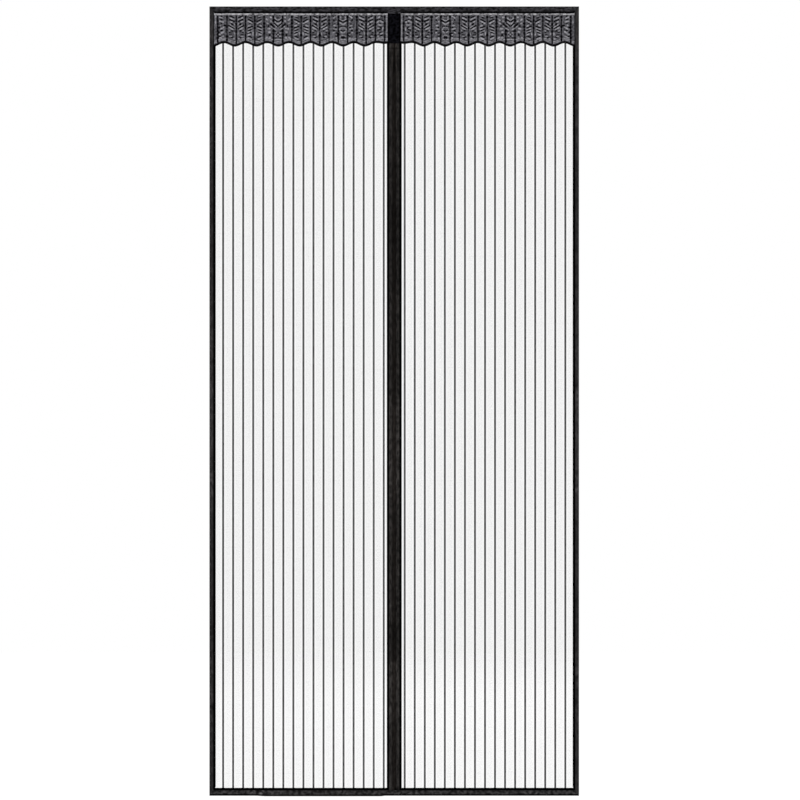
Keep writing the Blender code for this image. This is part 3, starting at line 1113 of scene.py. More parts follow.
@dataclass(frozen=True)
class Gather:
    """How a channel's tape is gathered below the patch, with painted light and shade on the gathers, painted
    shade along the centre line, and painted shade in the groove further down.
    """

    start: float = 0.009
    end: float = 0.150
    blend: float = 0.045
    pitch: float = 0.0098
    contrast: float = 0.60
    fade: float = 0.020
    dim: float = 0.12
    line: float = 0.0019
    line_spread: float = 0.0016
    spread_before: float = 0.03
    spread_after: float = 0.05
    line_inside: float = 0.0006
    line_outside: float = 0.0008
    lift: float = 0.9
    line_shade: float = 0.8
    groove: float = 0.0044
    groove_reach: float = 0.0011
    groove_shade: float = 0.65

    def tone(self, along: float, inward: float, patch_end: float, channel: float) -> float:
        """Return how much lighter or darker the tape is painted at a place on it: light and shade on the
        gathers, shade along the centre line and in the groove.

        Args:
            along: The place's distance below the screen's top.
            inward: Its distance from the centre line.
            patch_end: The patch's lower end, below the screen's top.
            channel: How wide the channel shows.

        Returns:
            A factor on the tape's own tone.
        """
        gathered = 1.0 - smoothstep(self.end, self.end + self.blend, along)
        below = max(0.0, along - patch_end - self.start)
        # Painted light and shade: dashes across the gathers' folds, fading further below the patch.
        fold = math.cos(math.tau * below / self.pitch)
        dashes = 1.0 - self.dim * gathered + self.contrast * fold * math.exp(-below / self.fade)
        if inward > channel:
            return dashes
        spread = smoothstep(self.end - self.spread_before, self.end + self.spread_after, along)
        wide = self.line + self.line_spread * spread
        off_line = smoothstep(wide - self.line_inside, wide + self.line_outside, inward)
        # Painted shade in the groove, below the gathered stretch.
        groove = max(0.0, 1.0 - abs(inward - self.groove) / self.groove_reach) * (1.0 - gathered)
        # In the gathered stretch the channel is lighter off the centre line, with painted shade along the
        # line where the two tapes meet.
        lift = 1.0 + gathered * (self.lift * off_line - self.line_shade * (1.0 - off_line))
        return lift * dashes * (1.0 - self.groove_shade * groove)


@dataclass
class Bindings:
    """All the folded tapes of the screen's edges."""

    layout: Layout
    materials: dict[str, Material]
    cords: CordTree
    stitches: StitchTree
    fold_steps: int = 7
    channel_width: float = 0.0061
    channel_ramp: float = 0.0008
    channel_corner: float = 0.0007
    corner_share: float = 0.3
    meeting_gap: float = -0.00002
    mitre_gap: float = 0.00002
    centre_gap: float = 0.00002
    channel_shown: float = 0.0053
    # Near-black strips of painted shade, for the shadow line along each binding's inner edge.
    stay_tuck: float = 0.0020
    stay_proud: float = 0.0003
    outer_stay: float = 0.0009
    right_stay: float = 0.0005
    lower_stay: float = 0.0011
    top_stay: float = 0.0050
    stay_thickness: float = 0.00015
    stay_step: float = 0.008
    stay_ripple: float = 0.00003
    # Where each fold begins; on the lower tapes this rim is painted near-black as shade under the fold.
    rim: float = 0.0042
    sag: float = 0.0003
    droop: float = 0.0013
    droop_start: Pair = (0.026, 0.034)
    droop_end: Pair = (0.34, 0.37)
    gather: Gather = Gather()
    channel_foot: float = 0.010
    piping: float = 0.00035
    piping_inset: float = 0.001
    piping_wander: float = 0.0002
    centre_step: float = 0.0042
    stitch: Stitch = Stitch()
    stitch_rise: float = 0.3
    seam_inset: float = 0.0022

    def fold(self, front_leaf: float, front_mid: float) -> list[Knee]:
        """Return the section of a tape folded round an edge.

        Args:
            front_leaf: Width of the front leaf.
            front_mid: Depth of the front leaf's middle.

        Returns:
            The section's corners, from the front leaf's free edge to the back leaf's.
        """
        lay = self.layout
        radius = (front_mid - lay.back_mid) / 2
        centre = (front_mid + lay.back_mid) / 2
        knees = [Knee(front_leaf, front_mid, True), Knee(self.rim, front_mid, True)]
        for step in range(self.fold_steps + 1):
            angle = math.pi / 2 - math.pi * step / self.fold_steps
            inward = lay.tape / 2 + radius - radius * math.cos(angle)
            knees.append(Knee(inward, centre + radius * math.sin(angle), step <= self.fold_steps // 2))
        knees.append(Knee(front_leaf + lay.back_leaf_extra, lay.back_mid, False))
        return knees

    def channel(self) -> list[Knee]:
        """Return the section of an inner edge: ribbon, channel, back leaf."""
        lay = self.layout
        wall = self.meeting_gap / 2 + lay.tape / 2
        corner = self.channel_corner
        cut = corner * self.corner_share
        end = self.channel_width
        return [
            Knee(lay.centre_leaf, lay.front_mid, True),
            Knee(end + self.channel_ramp, lay.front_mid, True),
            Knee(end, lay.channel_mid, True),
            Knee(self.channel_shown, lay.channel_mid, True),
            Knee(wall + corner, lay.channel_mid, True),
            Knee(wall + cut, lay.channel_mid - cut, True),
            Knee(wall, lay.channel_mid - corner, True),
            Knee(wall, lay.back_mid + corner, False),
            Knee(wall + cut, lay.back_mid + cut, False),
            Knee(wall + corner, lay.back_mid, False),
            Knee(lay.centre_leaf + lay.back_leaf_extra, lay.back_mid, False),
        ]

    def mitre(self, inward: float, front: bool, own_leaf: float, other_leaf: float) -> float:
        """Return how far an end runs back at a distance from the bound edge."""
        extra = 0.0 if front else self.layout.back_leaf_extra
        return inward * (other_leaf + extra) / (own_leaf + extra) + self.mitre_gap

    def centre_zone(self, inward: float, front: bool) -> int:
        """Number the zone of a centre binding: ribbon or channel."""
        return 1 if front and inward < self.channel_shown else 0

    def extra_stay(self, side: Side) -> float:
        """Return how much further the painted shadow strip of an inner edge shows: more on the right."""
        return self.right_stay if side is Side.RIGHT else 0.0

    def rim_zone(self, inward: float, front: bool) -> int:
        """Number the zone of a lower binding: tape, or the rim round the fold, painted near-black as shade on
        its underside.
        """
        return 1 if inward < self.rim else 0

    def stay(self, tape: FoldedTape, front_mid: float, reach: float) -> Piece:
        """Make the near-black strip along the inner edge of a front leaf: painted shade for the shadow line
        there.

        Args:
            tape: The binding whose front leaf the strip lies under.
            front_mid: Depth of the middle of the binding's front leaf.
            reach: How far the strip shows beyond the front leaf.

        Returns:
            The strip.
        """
        leaf = tape.knees[0].inward
        depth = front_mid - self.layout.tape / 2 - self.stay_thickness
        knees = [Knee(leaf - self.stay_tuck, depth, True), Knee(leaf + reach, depth, True)]
        calm = Pucker(seed=tape.pucker.seed, ripple=self.stay_ripple, mottle=0.0)
        name = tape.name + "_stay"
        strip = FoldedTape(
            name, knees, tape.ends, tape.place, calm, self.stay_thickness, row_step=self.stay_step
        )
        return dress(strip.build([self.materials["shade"]]), Slot.TAPE)

    def finish(
        self,
        tape: FoldedTape,
        node: str,
        seams: list[float],
        materials: list[str],
        length: float,
        stay: Piece,
    ) -> None:
        """Build one tape and sew it.

        Args:
            tape: The tape.
            node: The solid that it stands for.
            seams: The seams' distances from the bound edge.
            materials: The names of its zones' materials.
            length: The length it was cut to; not used.
            stay: The near-black strip of painted shade along its front leaf; not used.
        """
        piece = tape.build([self.materials[key] for key in materials])
        dress(piece, Slot.TAPE, [node])
        proud = tape.thickness / 2 + self.stitch.radius * self.stitch_rise
        paths = [tape.seam(inward, proud) for inward in seams]
        paths.append(tape.seam(seams[0], proud, front=False))
        thread = self.stitches.sew(tape.name + "_stitches", paths, self.stitch, self.materials["thread"])
        dress(thread, Slot.TAPE)

    def top(self) -> None:
        """Make the tape over the whole top edge."""
        lay = self.layout

        def ends(inward: float, front: bool) -> Point:
            """Ends of the run, mitred to the side tapes."""
            reach = lay.half_width - self.mitre(inward, front, lay.top_leaf, lay.side_leaf)
            return -reach, reach

        pucker = Pucker(
            seed=11.0,
            stretches=(Stretch(-0.40, -0.18, 1.10), Stretch(0.05, 0.30, 0.92), Stretch(0.36, 0.48, 1.08)),
            creases=(Crease(-0.37, 0.02, 0.00018, -0.5), Crease(0.30, 0.05, 0.00015, 0.3)),
            ripple=0.00016,
            mottle=0.15,
        )
        section = self.fold(lay.top_leaf, lay.top_front_mid)
        tape = FoldedTape("top_tape", section, ends, lay.across, pucker, lay.tape)
        stay = self.stay(tape, lay.top_front_mid, self.top_stay)
        seam = lay.top_leaf - self.seam_inset
        self.finish(tape, "top_binding", [seam], ["top_tape"], 2 * lay.half_width, stay)

    def side(self, side: Side) -> None:
        """Make the tape of one outer edge."""
        lay = self.layout

        def ends(inward: float, front: bool) -> Point:
            """Ends of the run, as distances below the top."""
            start = self.mitre(inward, front, lay.side_leaf, lay.top_leaf)
            end = lay.top - lay.bottom - self.mitre(inward, front, lay.side_leaf, lay.bottom_leaf)
            return start, end

        def place(along: float, inward: float, depth: float) -> Vector:
            """Turn a place on the tape into a point."""
            return Vector((side.value * (lay.half_width - inward), -depth, lay.top - along))

        pucker = Pucker(
            seed=23.0 + side.value,
            stretches=(
                Stretch(0.41, 0.78, 0.74), Stretch(0.98, 1.34, 1.18), Stretch(1.34, 1.55, 0.86),
                Stretch(1.55, 1.73, 0.72), Stretch(1.73, 1.90, 1.20), Stretch(1.90, 2.09, 0.86),
            ),
            creases=(
                Crease(1.02, 0.05, 0.0003, 0.9), Crease(1.27, 0.06, 0.0004, 1.3),
                Crease(1.76, 0.05, 0.0003, 1.0), Crease(1.85, 0.04, 0.0004, 1.4),
            ),
        )
        name = f"{side.label}_side_tape"
        tape = FoldedTape(name, self.fold(lay.side_leaf, lay.front_mid), ends, place, pucker, lay.tape)
        stay = self.stay(tape, lay.front_mid, lay.back_leaf_extra + self.stay_proud + self.outer_stay)
        node = f"{side.label}_side_binding"
        self.finish(tape, node, [lay.side_leaf - self.seam_inset], ["tape"], lay.top - lay.bottom, stay)

    def lower(self, side: Side) -> None:
        """Make the tape of one lower edge."""
        lay = self.layout

        def ends(inward: float, front: bool) -> Point:
            """Ends of the run, from the centre line outward."""
            return self.centre_gap, lay.half_width - self.mitre(inward, front, lay.bottom_leaf, lay.side_leaf)

        def place(along: float, inward: float, depth: float) -> Vector:
            """Turn a place on the tape into a point."""
            low = self.sag
            if side is Side.LEFT:
                stretch = smoothstep(*self.droop_start, along) * (1.0 - smoothstep(*self.droop_end, along))
                low += self.droop * stretch * (1.0 - smoothstep(0.0, lay.bottom_leaf, inward))
            return Vector((side.value * along, -depth, lay.bottom + inward - low))

        pucker = Pucker(
            seed=37.0 + side.value,
            stretches=(Stretch(0.30, 0.47, 1.15),),
            creases=(Crease(0.36, 0.07, 0.0004, 1.5), Crease(0.04, 0.05, 0.0004, 0.9)),
            ripple=0.00016,
            mottle=0.15,
        )
        name = f"{side.label}_lower_tape"
        section = self.fold(lay.bottom_leaf, lay.front_mid)
        # The lower tape's rim takes the near-black painted shade.
        tape = FoldedTape(name, section, ends, place, pucker, lay.tape, self.rim_zone)
        stay = self.stay(tape, lay.front_mid, lay.back_leaf_extra + self.stay_proud + self.lower_stay)
        node = f"{side.label}_bottom_binding"
        seam = lay.bottom_leaf - self.seam_inset
        self.finish(tape, node, [seam], ["lower_tape", "shade"], lay.half_width, stay)

    def centre(self, side: Side) -> None:
        """Make the tape of one inner edge, with the channel for the magnets."""
        lay = self.layout
        foot = lay.top - lay.bottom - lay.bottom_leaf
        patch_end = lay.top - lay.patch_bottom

        def ends(inward: float, front: bool) -> Point:
            """Ends of the run, as distances below the top."""
            return lay.top - lay.centre_top, foot

        def place(along: float, inward: float, depth: float) -> Vector:
            """Turn a place on the tape into a point; the channel runs out at its foot."""
            room = (lay.channel_mid - lay.front_mid) * smoothstep(0.0, self.channel_foot, foot - along)
            return Vector((side.value * inward, -min(depth, lay.front_mid + room), lay.top - along))

        pucker = Pucker(
            seed=51.0 + side.value,
            stretches=(
                Stretch(0.42, 0.53, 0.82), Stretch(0.53, 0.63, 0.60), Stretch(0.63, 0.75, 0.76),
                Stretch(1.06, 1.31, 1.70), Stretch(1.31, 1.64, 1.20), Stretch(1.64, 1.70, 0.75),
                Stretch(1.74, 1.90, 1.90), Stretch(1.90, 2.08, 1.40),
            ),
            creases=(
                Crease(0.122, 0.036, 0.0005, 0.0), Crease(0.625, 0.02, 0.0003, -0.6),
                Crease(0.735, 0.01, 0.0003, -0.6), Crease(1.055, 0.02, 0.0004, 0.8),
                Crease(1.28, 0.03, 0.0004, 0.9), Crease(1.59, 0.02, 0.0004, 0.8),
                Crease(1.85, 0.03, 0.0004, 0.9), Crease(foot, 0.015, 0.0004, 0.9),
            ),
            ripple=0.00012,
            mottle=0.13,
        )

        def shade(along: float, inward: float) -> float:
            """Return the painted light and shade of the gathered stretch and the painted shade of the groove.
            """
            return self.gather.tone(along, inward, patch_end, self.channel_shown)

        name = f"{side.label}_centre_tape"
        tape = FoldedTape(
            name, self.channel(), ends, place, pucker, lay.tape, self.centre_zone, shade, self.centre_step
        )
        stay = self.stay(tape, lay.front_mid, lay.back_leaf_extra + self.stay_proud + self.extra_stay(side))
        node = f"{side.label}_centre_binding"
        seams = [lay.centre_leaf - self.seam_inset, self.channel_width + self.seam_inset]
        self.finish(tape, node, seams, ["ribbon", "channel"], lay.centre_top - lay.bottom, stay)
        groove = tape.seam(self.gather.groove, lay.tape / 2, inset=self.piping_inset)
        name = f"{side.label}_channel_seam"
        thread = self.materials["dark_thread"]
        dress(self.cords.lay(name, [groove], self.piping, thread, wander=self.piping_wander), Slot.TAPE)


# Net


@dataclass
class NetPanel:
    """One panel of striped net: haze, filling threads, warp threads and stripes."""

    side: Side
    layout: Layout
    materials: dict[str, Material]
    cords: CordTree
    thread_radius: float = 0.000045
    thread_pitch: float = 0.0018
    first_stripe: float = 0.0279
    stripe_pitch: float = 0.0267
    stripe_width: float = 0.0040
    stripe_body: float = 0.0053
    open_line: float = 0.0045
    open_rows: int = 3
    cross_band: float = 0.0015
    open_margin: float = 0.0030
    haze_thickness: float = 0.0001
    haze_step: float = 0.007
    haze_row: float = 0.03
    stripe_cords: int = 5
    stripe_proud: float = 0.0001
    stripe_overlap: float = 1.02
    filling_steps: int = 10
    warp_steps: int = 30
    stripe_steps: int = 40
    wander: float = 0.0002
    billow_height: float = 0.0011
    billow_head: Pair = (0.005, 0.30)
    billow_foot: Pair = (0.02, 0.25)
    fold_counts: Pair = (7.0, 3.0)
    fold_slants: Pair = (2.2, -3.1)
    second_fold: float = 0.6

    def billow(self, distance: float, z: float) -> float:
        """Work out how far the net stands forward of its plane.

        Args:
            distance: The place's distance from the centre line.
            z: Its height.

        Returns:
            The distance forward.
        """
        lay = self.layout
        across = (distance - lay.net_inner) / (lay.net_outer - lay.net_inner)
        head_start, head_end = self.billow_head
        foot_start, foot_end = self.billow_foot
        hang = smoothstep(lay.lace_low - head_start, lay.lace_low - head_end, z)
        hang *= smoothstep(lay.net_bottom + foot_start, lay.net_bottom + foot_end, z)
        edge = math.sin(math.pi * min(max(across, 0.0), 1.0))
        first, second = (
            math.sin(count * math.pi * across + slant * z)
            for count, slant in zip(self.fold_counts, self.fold_slants)
        )
        return self.billow_height * edge * hang * (first + self.second_fold * second)

    def point(self, distance: float, z: float, proud: float = 0.0) -> Vector:
        """Return a point of the net's middle surface, or one in front of it."""
        depth = self.layout.net_mid + self.billow(distance, z) + proud
        return Vector((self.side.value * distance, -depth, z))

    def upright(self, distance: float, steps: int, proud: float = 0.0) -> Path:
        """Return the path of a thread from the net's foot to its head."""
        lay = self.layout
        span = lay.net_top - lay.net_bottom
        return [self.point(distance, lay.net_bottom + span * n / steps, proud) for n in range(steps + 1)]

    def stripe_centres(self) -> list[float]:
        """Return the stripes' distances from the centre line."""
        lay = self.layout
        margin = lay.side_leaf + lay.back_leaf_extra
        last = lay.half_width - margin - self.open_line - self.stripe_width / 2
        count = int((last - self.first_stripe) / self.stripe_pitch) + 1
        return [self.first_stripe + self.stripe_pitch * n for n in range(count)]

    def columns(self) -> list[float]:
        """Return the column edges: plain, open, stripe, open, plain and so on."""
        edges = [self.layout.net_inner]
        half = self.stripe_width / 2
        for centre in self.stripe_centres():
            edges += [centre - half - self.open_line, centre - half]
            edges += [centre + half, centre + half + self.open_line]
        return edges + [self.layout.net_outer]

    def open_spans(self) -> Outline:
        """Return the heights between which the open lines run."""
        lay = self.layout
        low = lay.bottom + lay.bottom_leaf + lay.back_leaf_extra + self.open_margin
        high = lay.top - lay.top_leaf - lay.back_leaf_extra - self.open_margin
        height = (high - low - self.cross_band * (self.open_rows - 1)) / self.open_rows
        spans = []
        for n in range(self.open_rows):
            start = low + n * (height + self.cross_band)
            spans.append((start, start + height))
        return spans

    def haze(self) -> tuple[Piece, float]:
        """Make the thin closed sheet of the net, and return it and its flat area."""
        lay = self.layout
        columns: list[tuple[float, int]] = []
        edges = self.columns()
        for band, (start, end) in enumerate(zip(edges, edges[1:])):
            steps = max(1, round((end - start) / self.haze_step))
            columns += [(start + (end - start) * n / steps, band) for n in range(steps)]
        columns.append((edges[-1], len(edges) - 2))
        heights = [lay.net_bottom]
        open_rows = []
        for low, high in self.open_spans():
            steps = round((high - low) / self.haze_row)
            open_rows += list(range(len(heights), len(heights) + steps))
            heights += [low + (high - low) * n / steps for n in range(steps + 1)]
        heights.append(lay.net_top)
        bm = bmesh.new()
        grid = [[bm.verts.new(self.point(x, z)) for x, _ in columns] for z in heights]
        area = 0.0
        for row, (lower, upper) in enumerate(zip(grid, grid[1:])):
            for column in range(len(columns) - 1):
                if row in open_rows and columns[column][1] % 2 == 1:
                    continue
                face = bm.faces.new((lower[column], lower[column + 1], upper[column + 1], upper[column]))
                area += face.calc_area()
        loose = [vert for vert in bm.verts if not vert.link_faces]
        bmesh.ops.delete(bm, geom=loose, context="VERTS")
        sheet = object_from_bmesh(f"{self.side.label}_net", bm, [self.materials["haze"]])
        made = give_thickness(sheet, self.haze_thickness)
        smooth(made)
        return dress(made, Slot.NET, [f"{self.side.label}_mesh"]), area

    def threads(self, kind: str, paths: list[Path]) -> Piece:
        """Make one piece of thin threads."""
        name = f"{self.side.label}_net_{kind}"
        made = self.cords.lay(name, paths, self.thread_radius, self.materials["net"], 3, self.wander)
        return dress(made, Slot.NET)

    def fillings(self) -> Piece:
        """Make the level threads."""
        lay = self.layout
        steps = self.filling_steps
        span = lay.net_outer - lay.net_inner
        paths = []
        for n in range(int((lay.net_top - lay.net_bottom) / self.thread_pitch)):
            z = lay.net_bottom + self.thread_pitch * (n + 0.5)
            paths.append([self.point(lay.net_inner + span * s / steps, z) for s in range(steps + 1)])
        return self.threads("fillings", paths)

    def warps(self) -> Piece:
        """Make the upright threads of the plain bands, which are every fourth column."""
        edges = self.columns()
        paths = []
        for start, end in list(zip(edges, edges[1:]))[::4]:
            count = max(2, round((end - start) / self.thread_pitch))
            for n in range(count + 1):
                paths.append(self.upright(start + (end - start) * n / count, self.warp_steps))
        return self.threads("warps", paths)

    def stripes(self) -> Piece:
        """Make the woven stripes, each a few thick cords side by side."""
        radius = self.stripe_body / self.stripe_cords / 2
        paths = []
        for centre in self.stripe_centres():
            for n in range(self.stripe_cords):
                x = centre + (n - (self.stripe_cords - 1) / 2) * 2 * radius
                paths.append(self.upright(x, self.stripe_steps, self.stripe_proud))
        name = f"{self.side.label}_net_stripes"
        made = self.cords.lay(name, paths, radius * self.stripe_overlap, self.materials["stripe"], 5)
        smooth(made, 80.0)
        return dress(made, Slot.NET)

    def build(self) -> None:
        """Make the whole panel."""
        sheet, area = self.haze()
        others = [self.fillings(), self.warps(), self.stripes()]


# Lace


@dataclass(frozen=True)
class Stroke:
    """A slanted stroke of a motif, in millimetres out from its middle line and down from the head."""

    outer: float
    outer_depth: float
    inner: float
    inner_depth: float
    width: float


def drawn(*rows: tuple[float, ...]) -> tuple[Stroke, ...]:
    """Return the strokes of a motif, each from its five sizes."""
    return tuple(Stroke(*row) for row in rows)


@dataclass(frozen=True)
class Motif:
    """One figure of the lace, with its openings and its dense raised strokes."""

    open: tuple[Stroke, ...]
    dense: tuple[Stroke, ...]
    ways: tuple[int, ...] = (-1, 1)


LEAF = Motif(
    open=drawn(
        (19.0, 6.5, 4.0, 13.0, 2.4), (19.5, 16.0, 3.0, 23.5, 3.0), (14.5, 26.5, 7.5, 33.5, 3.8),
        (22.0, 31.5, 4.0, 42.0, 2.8), (14.5, 46.0, 7.5, 48.5, 3.0), (21.0, 52.5, 14.0, 50.5, 2.0),
        (20.0, 57.5, 9.0, 58.5, 2.0), (15.0, 66.0, 6.5, 62.5, 2.6),
    ),
    dense=drawn(
        (19.0, 11.5, 4.0, 18.0, 2.6), (18.5, 21.5, 10.0, 25.0, 2.6), (7.0, 26.0, 3.5, 32.0, 2.4),
        (17.5, 30.0, 3.0, 39.5, 2.2), (20.5, 37.0, 7.0, 44.5, 3.0), (20.0, 45.0, 17.0, 49.0, 2.4),
        (5.0, 51.0, 4.5, 60.0, 2.4), (19.0, 62.0, 11.0, 61.5, 2.4), (10.0, 67.5, 3.5, 69.5, 2.6),
    ),
)
FAN = Motif(
    open=drawn(
        (17.0, 9.5, 6.0, 14.0, 2.4), (19.0, 16.0, 3.0, 24.0, 3.0), (15.0, 26.5, 9.0, 29.0, 2.2),
        (20.0, 40.0, 4.0, 34.5, 2.8), (19.0, 48.0, 8.0, 43.5, 2.6), (18.0, 54.5, 8.0, 50.0, 2.8),
        (18.5, 60.0, 6.0, 65.5, 2.8), (16.0, 71.5, 8.0, 73.5, 1.8),
    ),
    dense=drawn(
        (20.0, 6.0, 9.0, 9.5, 2.2), (20.0, 20.0, 4.5, 28.5, 3.2), (20.0, 35.0, 11.0, 32.0, 3.2),
        (20.0, 44.0, 6.0, 39.0, 2.2), (20.0, 51.5, 6.0, 46.5, 2.2), (20.0, 59.0, 10.0, 55.0, 3.2),
        (5.0, 50.0, 4.8, 60.0, 2.0), (20.0, 65.0, 7.0, 70.0, 3.0),
    ),
)
WIDE_LEAF = Motif(
    open=drawn(
        (4.2, 12.8, 0.0, 12.8, 3.0), (12.0, 15.5, 0.0, 23.5, 3.0), (12.5, 24.5, 0.0, 36.5, 2.8),
        (21.5, 26.5, 8.0, 39.5, 4.2), (28.0, 34.2, 24.8, 34.2, 4.6), (13.0, 44.5, 5.5, 50.0, 2.4),
        (1.5, 52.8, 0.0, 52.8, 2.6), (6.0, 56.6, 4.0, 56.6, 2.8), (1.6, 61.2, 0.0, 61.2, 2.8),
        (10.0, 66.2, 2.0, 66.2, 2.6), (25.5, 57.5, 20.0, 58.5, 5.4),
    ),
    dense=drawn(
        (9.0, 11.5, 5.0, 17.0, 2.4), (5.5, 16.5, 0.0, 19.0, 2.6), (8.5, 22.5, 0.0, 30.0, 2.8),
        (10.5, 29.0, 2.0, 37.5, 2.4), (19.5, 33.0, 14.5, 38.0, 4.0), (14.0, 38.5, 3.0, 45.5, 2.2),
        (22.5, 10.5, 16.0, 12.5, 4.2), (22.5, 22.0, 16.0, 21.0, 4.6), (33.0, 14.0, 26.0, 20.5, 3.4),
        (33.0, 25.5, 25.0, 28.5, 3.4), (30.0, 42.0, 19.0, 41.0, 3.2), (33.0, 66.0, 27.0, 64.0, 4.0),
        (7.0, 51.5, 5.0, 52.5, 3.6), (7.0, 61.0, 5.0, 61.6, 3.6), (1.2, 56.8, 0.0, 56.8, 3.0),
        (9.5, 70.0, 0.0, 70.0, 3.0), (26.5, 50.5, 17.5, 50.5, 3.8), (25.0, 65.5, 17.5, 65.0, 4.6),
    ),
)
WIDE_FAN = Motif(
    open=drawn(
        (13.0, 7.5, 8.0, 6.5, 3.4), (4.0, 9.5, 0.0, 10.0, 2.6), (3.5, 15.5, 0.0, 16.5, 2.6),
        (12.5, 18.0, 0.0, 25.5, 3.4), (10.0, 38.0, 5.0, 35.2, 2.6), (5.5, 35.2, 0.0, 34.6, 2.8),
        (6.5, 44.5, 0.0, 48.5, 2.4), (5.8, 64.6, 0.0, 64.6, 5.4), (28.0, 8.5, 23.5, 8.0, 3.2),
        (28.0, 19.0, 21.0, 18.0, 3.8), (24.0, 27.5, 18.5, 29.0, 2.2), (22.5, 37.5, 15.0, 39.0, 2.8),
        (28.0, 47.5, 20.0, 46.0, 3.2), (20.0, 54.5, 14.0, 51.5, 3.0), (21.5, 61.5, 12.0, 60.5, 2.8),
    ),
    dense=drawn(
        (7.0, 9.0, 6.5, 14.0, 2.2), (8.5, 15.0, 4.5, 18.8, 2.4), (5.0, 18.5, 0.0, 20.6, 2.4),
        (9.0, 23.8, 0.0, 31.0, 3.6), (7.5, 40.5, 3.0, 38.0, 2.0), (3.5, 38.0, 0.0, 37.8, 2.0),
        (8.5, 41.0, 8.0, 46.0, 2.0), (8.5, 48.5, 0.0, 53.2, 2.4), (8.5, 62.0, 3.5, 59.4, 2.0),
        (4.0, 59.4, 0.0, 59.2, 2.0), (8.5, 69.2, 0.0, 71.6, 2.2), (26.0, 14.0, 16.0, 7.0, 2.6),
        (20.0, 23.5, 16.0, 21.0, 3.8), (26.0, 33.0, 17.0, 33.5, 3.0), (27.0, 40.8, 16.0, 43.6, 2.4),
        (28.0, 53.0, 22.0, 51.0, 3.0), (20.5, 57.8, 15.5, 57.2, 3.6), (20.5, 66.0, 14.5, 67.5, 4.0),
    ),
)
OUTER_END = Motif(
    open=drawn(
        (14.0, 8.4, 7.0, 6.8, 3.8), (13.5, 18.6, 6.5, 16.2, 3.8), (24.0, 33.4, 14.5, 32.4, 3.8),
        (14.5, 46.6, 6.5, 45.4, 3.6), (6.5, 35.5, 0.0, 41.5, 3.4), (6.0, 52.5, 0.0, 50.0, 4.4),
        (9.5, 63.0, 1.0, 60.0, 3.2), (13.0, 28.0, 7.0, 27.0, 2.0),
    ),
    dense=drawn(
        (15.0, 15.0, 2.5, 9.5, 2.8), (17.0, 24.0, 3.0, 21.0, 3.0), (11.0, 31.0, 5.0, 34.0, 3.6),
        (18.5, 36.0, 6.0, 43.5, 3.0), (19.0, 47.5, 8.0, 54.0, 3.4), (9.5, 58.0, 2.5, 56.5, 3.4),
        (17.5, 60.0, 3.0, 67.0, 3.0), (-5.8, 6.0, -5.8, 30.0, 1.8),
    ),
    ways=(-1,),
)
INNER_END = Motif(
    open=drawn(
        (12.5, 8.0, 4.0, 8.4, 2.6), (2.0, 21.5, 10.0, 17.2, 2.6), (9.5, 17.2, 17.5, 15.8, 2.6),
        (17.0, 15.8, 23.0, 20.0, 3.6), (15.5, 26.8, 9.0, 28.0, 2.2), (8.0, 38.5, 16.0, 36.2, 3.0),
        (8.5, 38.0, 10.5, 43.5, 2.8), (10.0, 43.2, 21.0, 46.0, 3.0), (8.0, 50.0, 15.5, 52.0, 2.8),
        (5.0, 57.5, 14.5, 61.8, 3.0),
    ),
    dense=drawn(
        (11.5, 9.0, 20.0, 14.5, 3.0), (3.0, 25.4, 9.5, 21.8, 3.0), (9.0, 21.8, 15.5, 20.2, 3.0),
        (15.0, 20.4, 21.5, 25.6, 3.0), (5.0, 31.8, 19.5, 31.2, 3.0), (12.0, 40.2, 20.0, 40.0, 3.0),
        (4.0, 37.0, 6.0, 47.5, 2.6), (18.0, 50.5, 18.5, 55.0, 3.6), (4.0, 52.5, 12.0, 56.2, 2.4),
        (3.0, 65.4, 12.5, 62.6, 3.2), (18.0, 59.0, 18.0, 64.0, 3.6), (-5.4, 5.5, -5.4, 72.0, 1.6),
    ),
    ways=(1,),
)
REPEAT = (
    (0.0, OUTER_END),
    (2.0, LEAF),
    (4.0, FAN),
    (6.5, WIDE_LEAF),
    (9.0, FAN),
    (11.0, LEAF),
    (13.5, WIDE_FAN),
    (16.0, LEAF),
    (18.0, INNER_END),
)


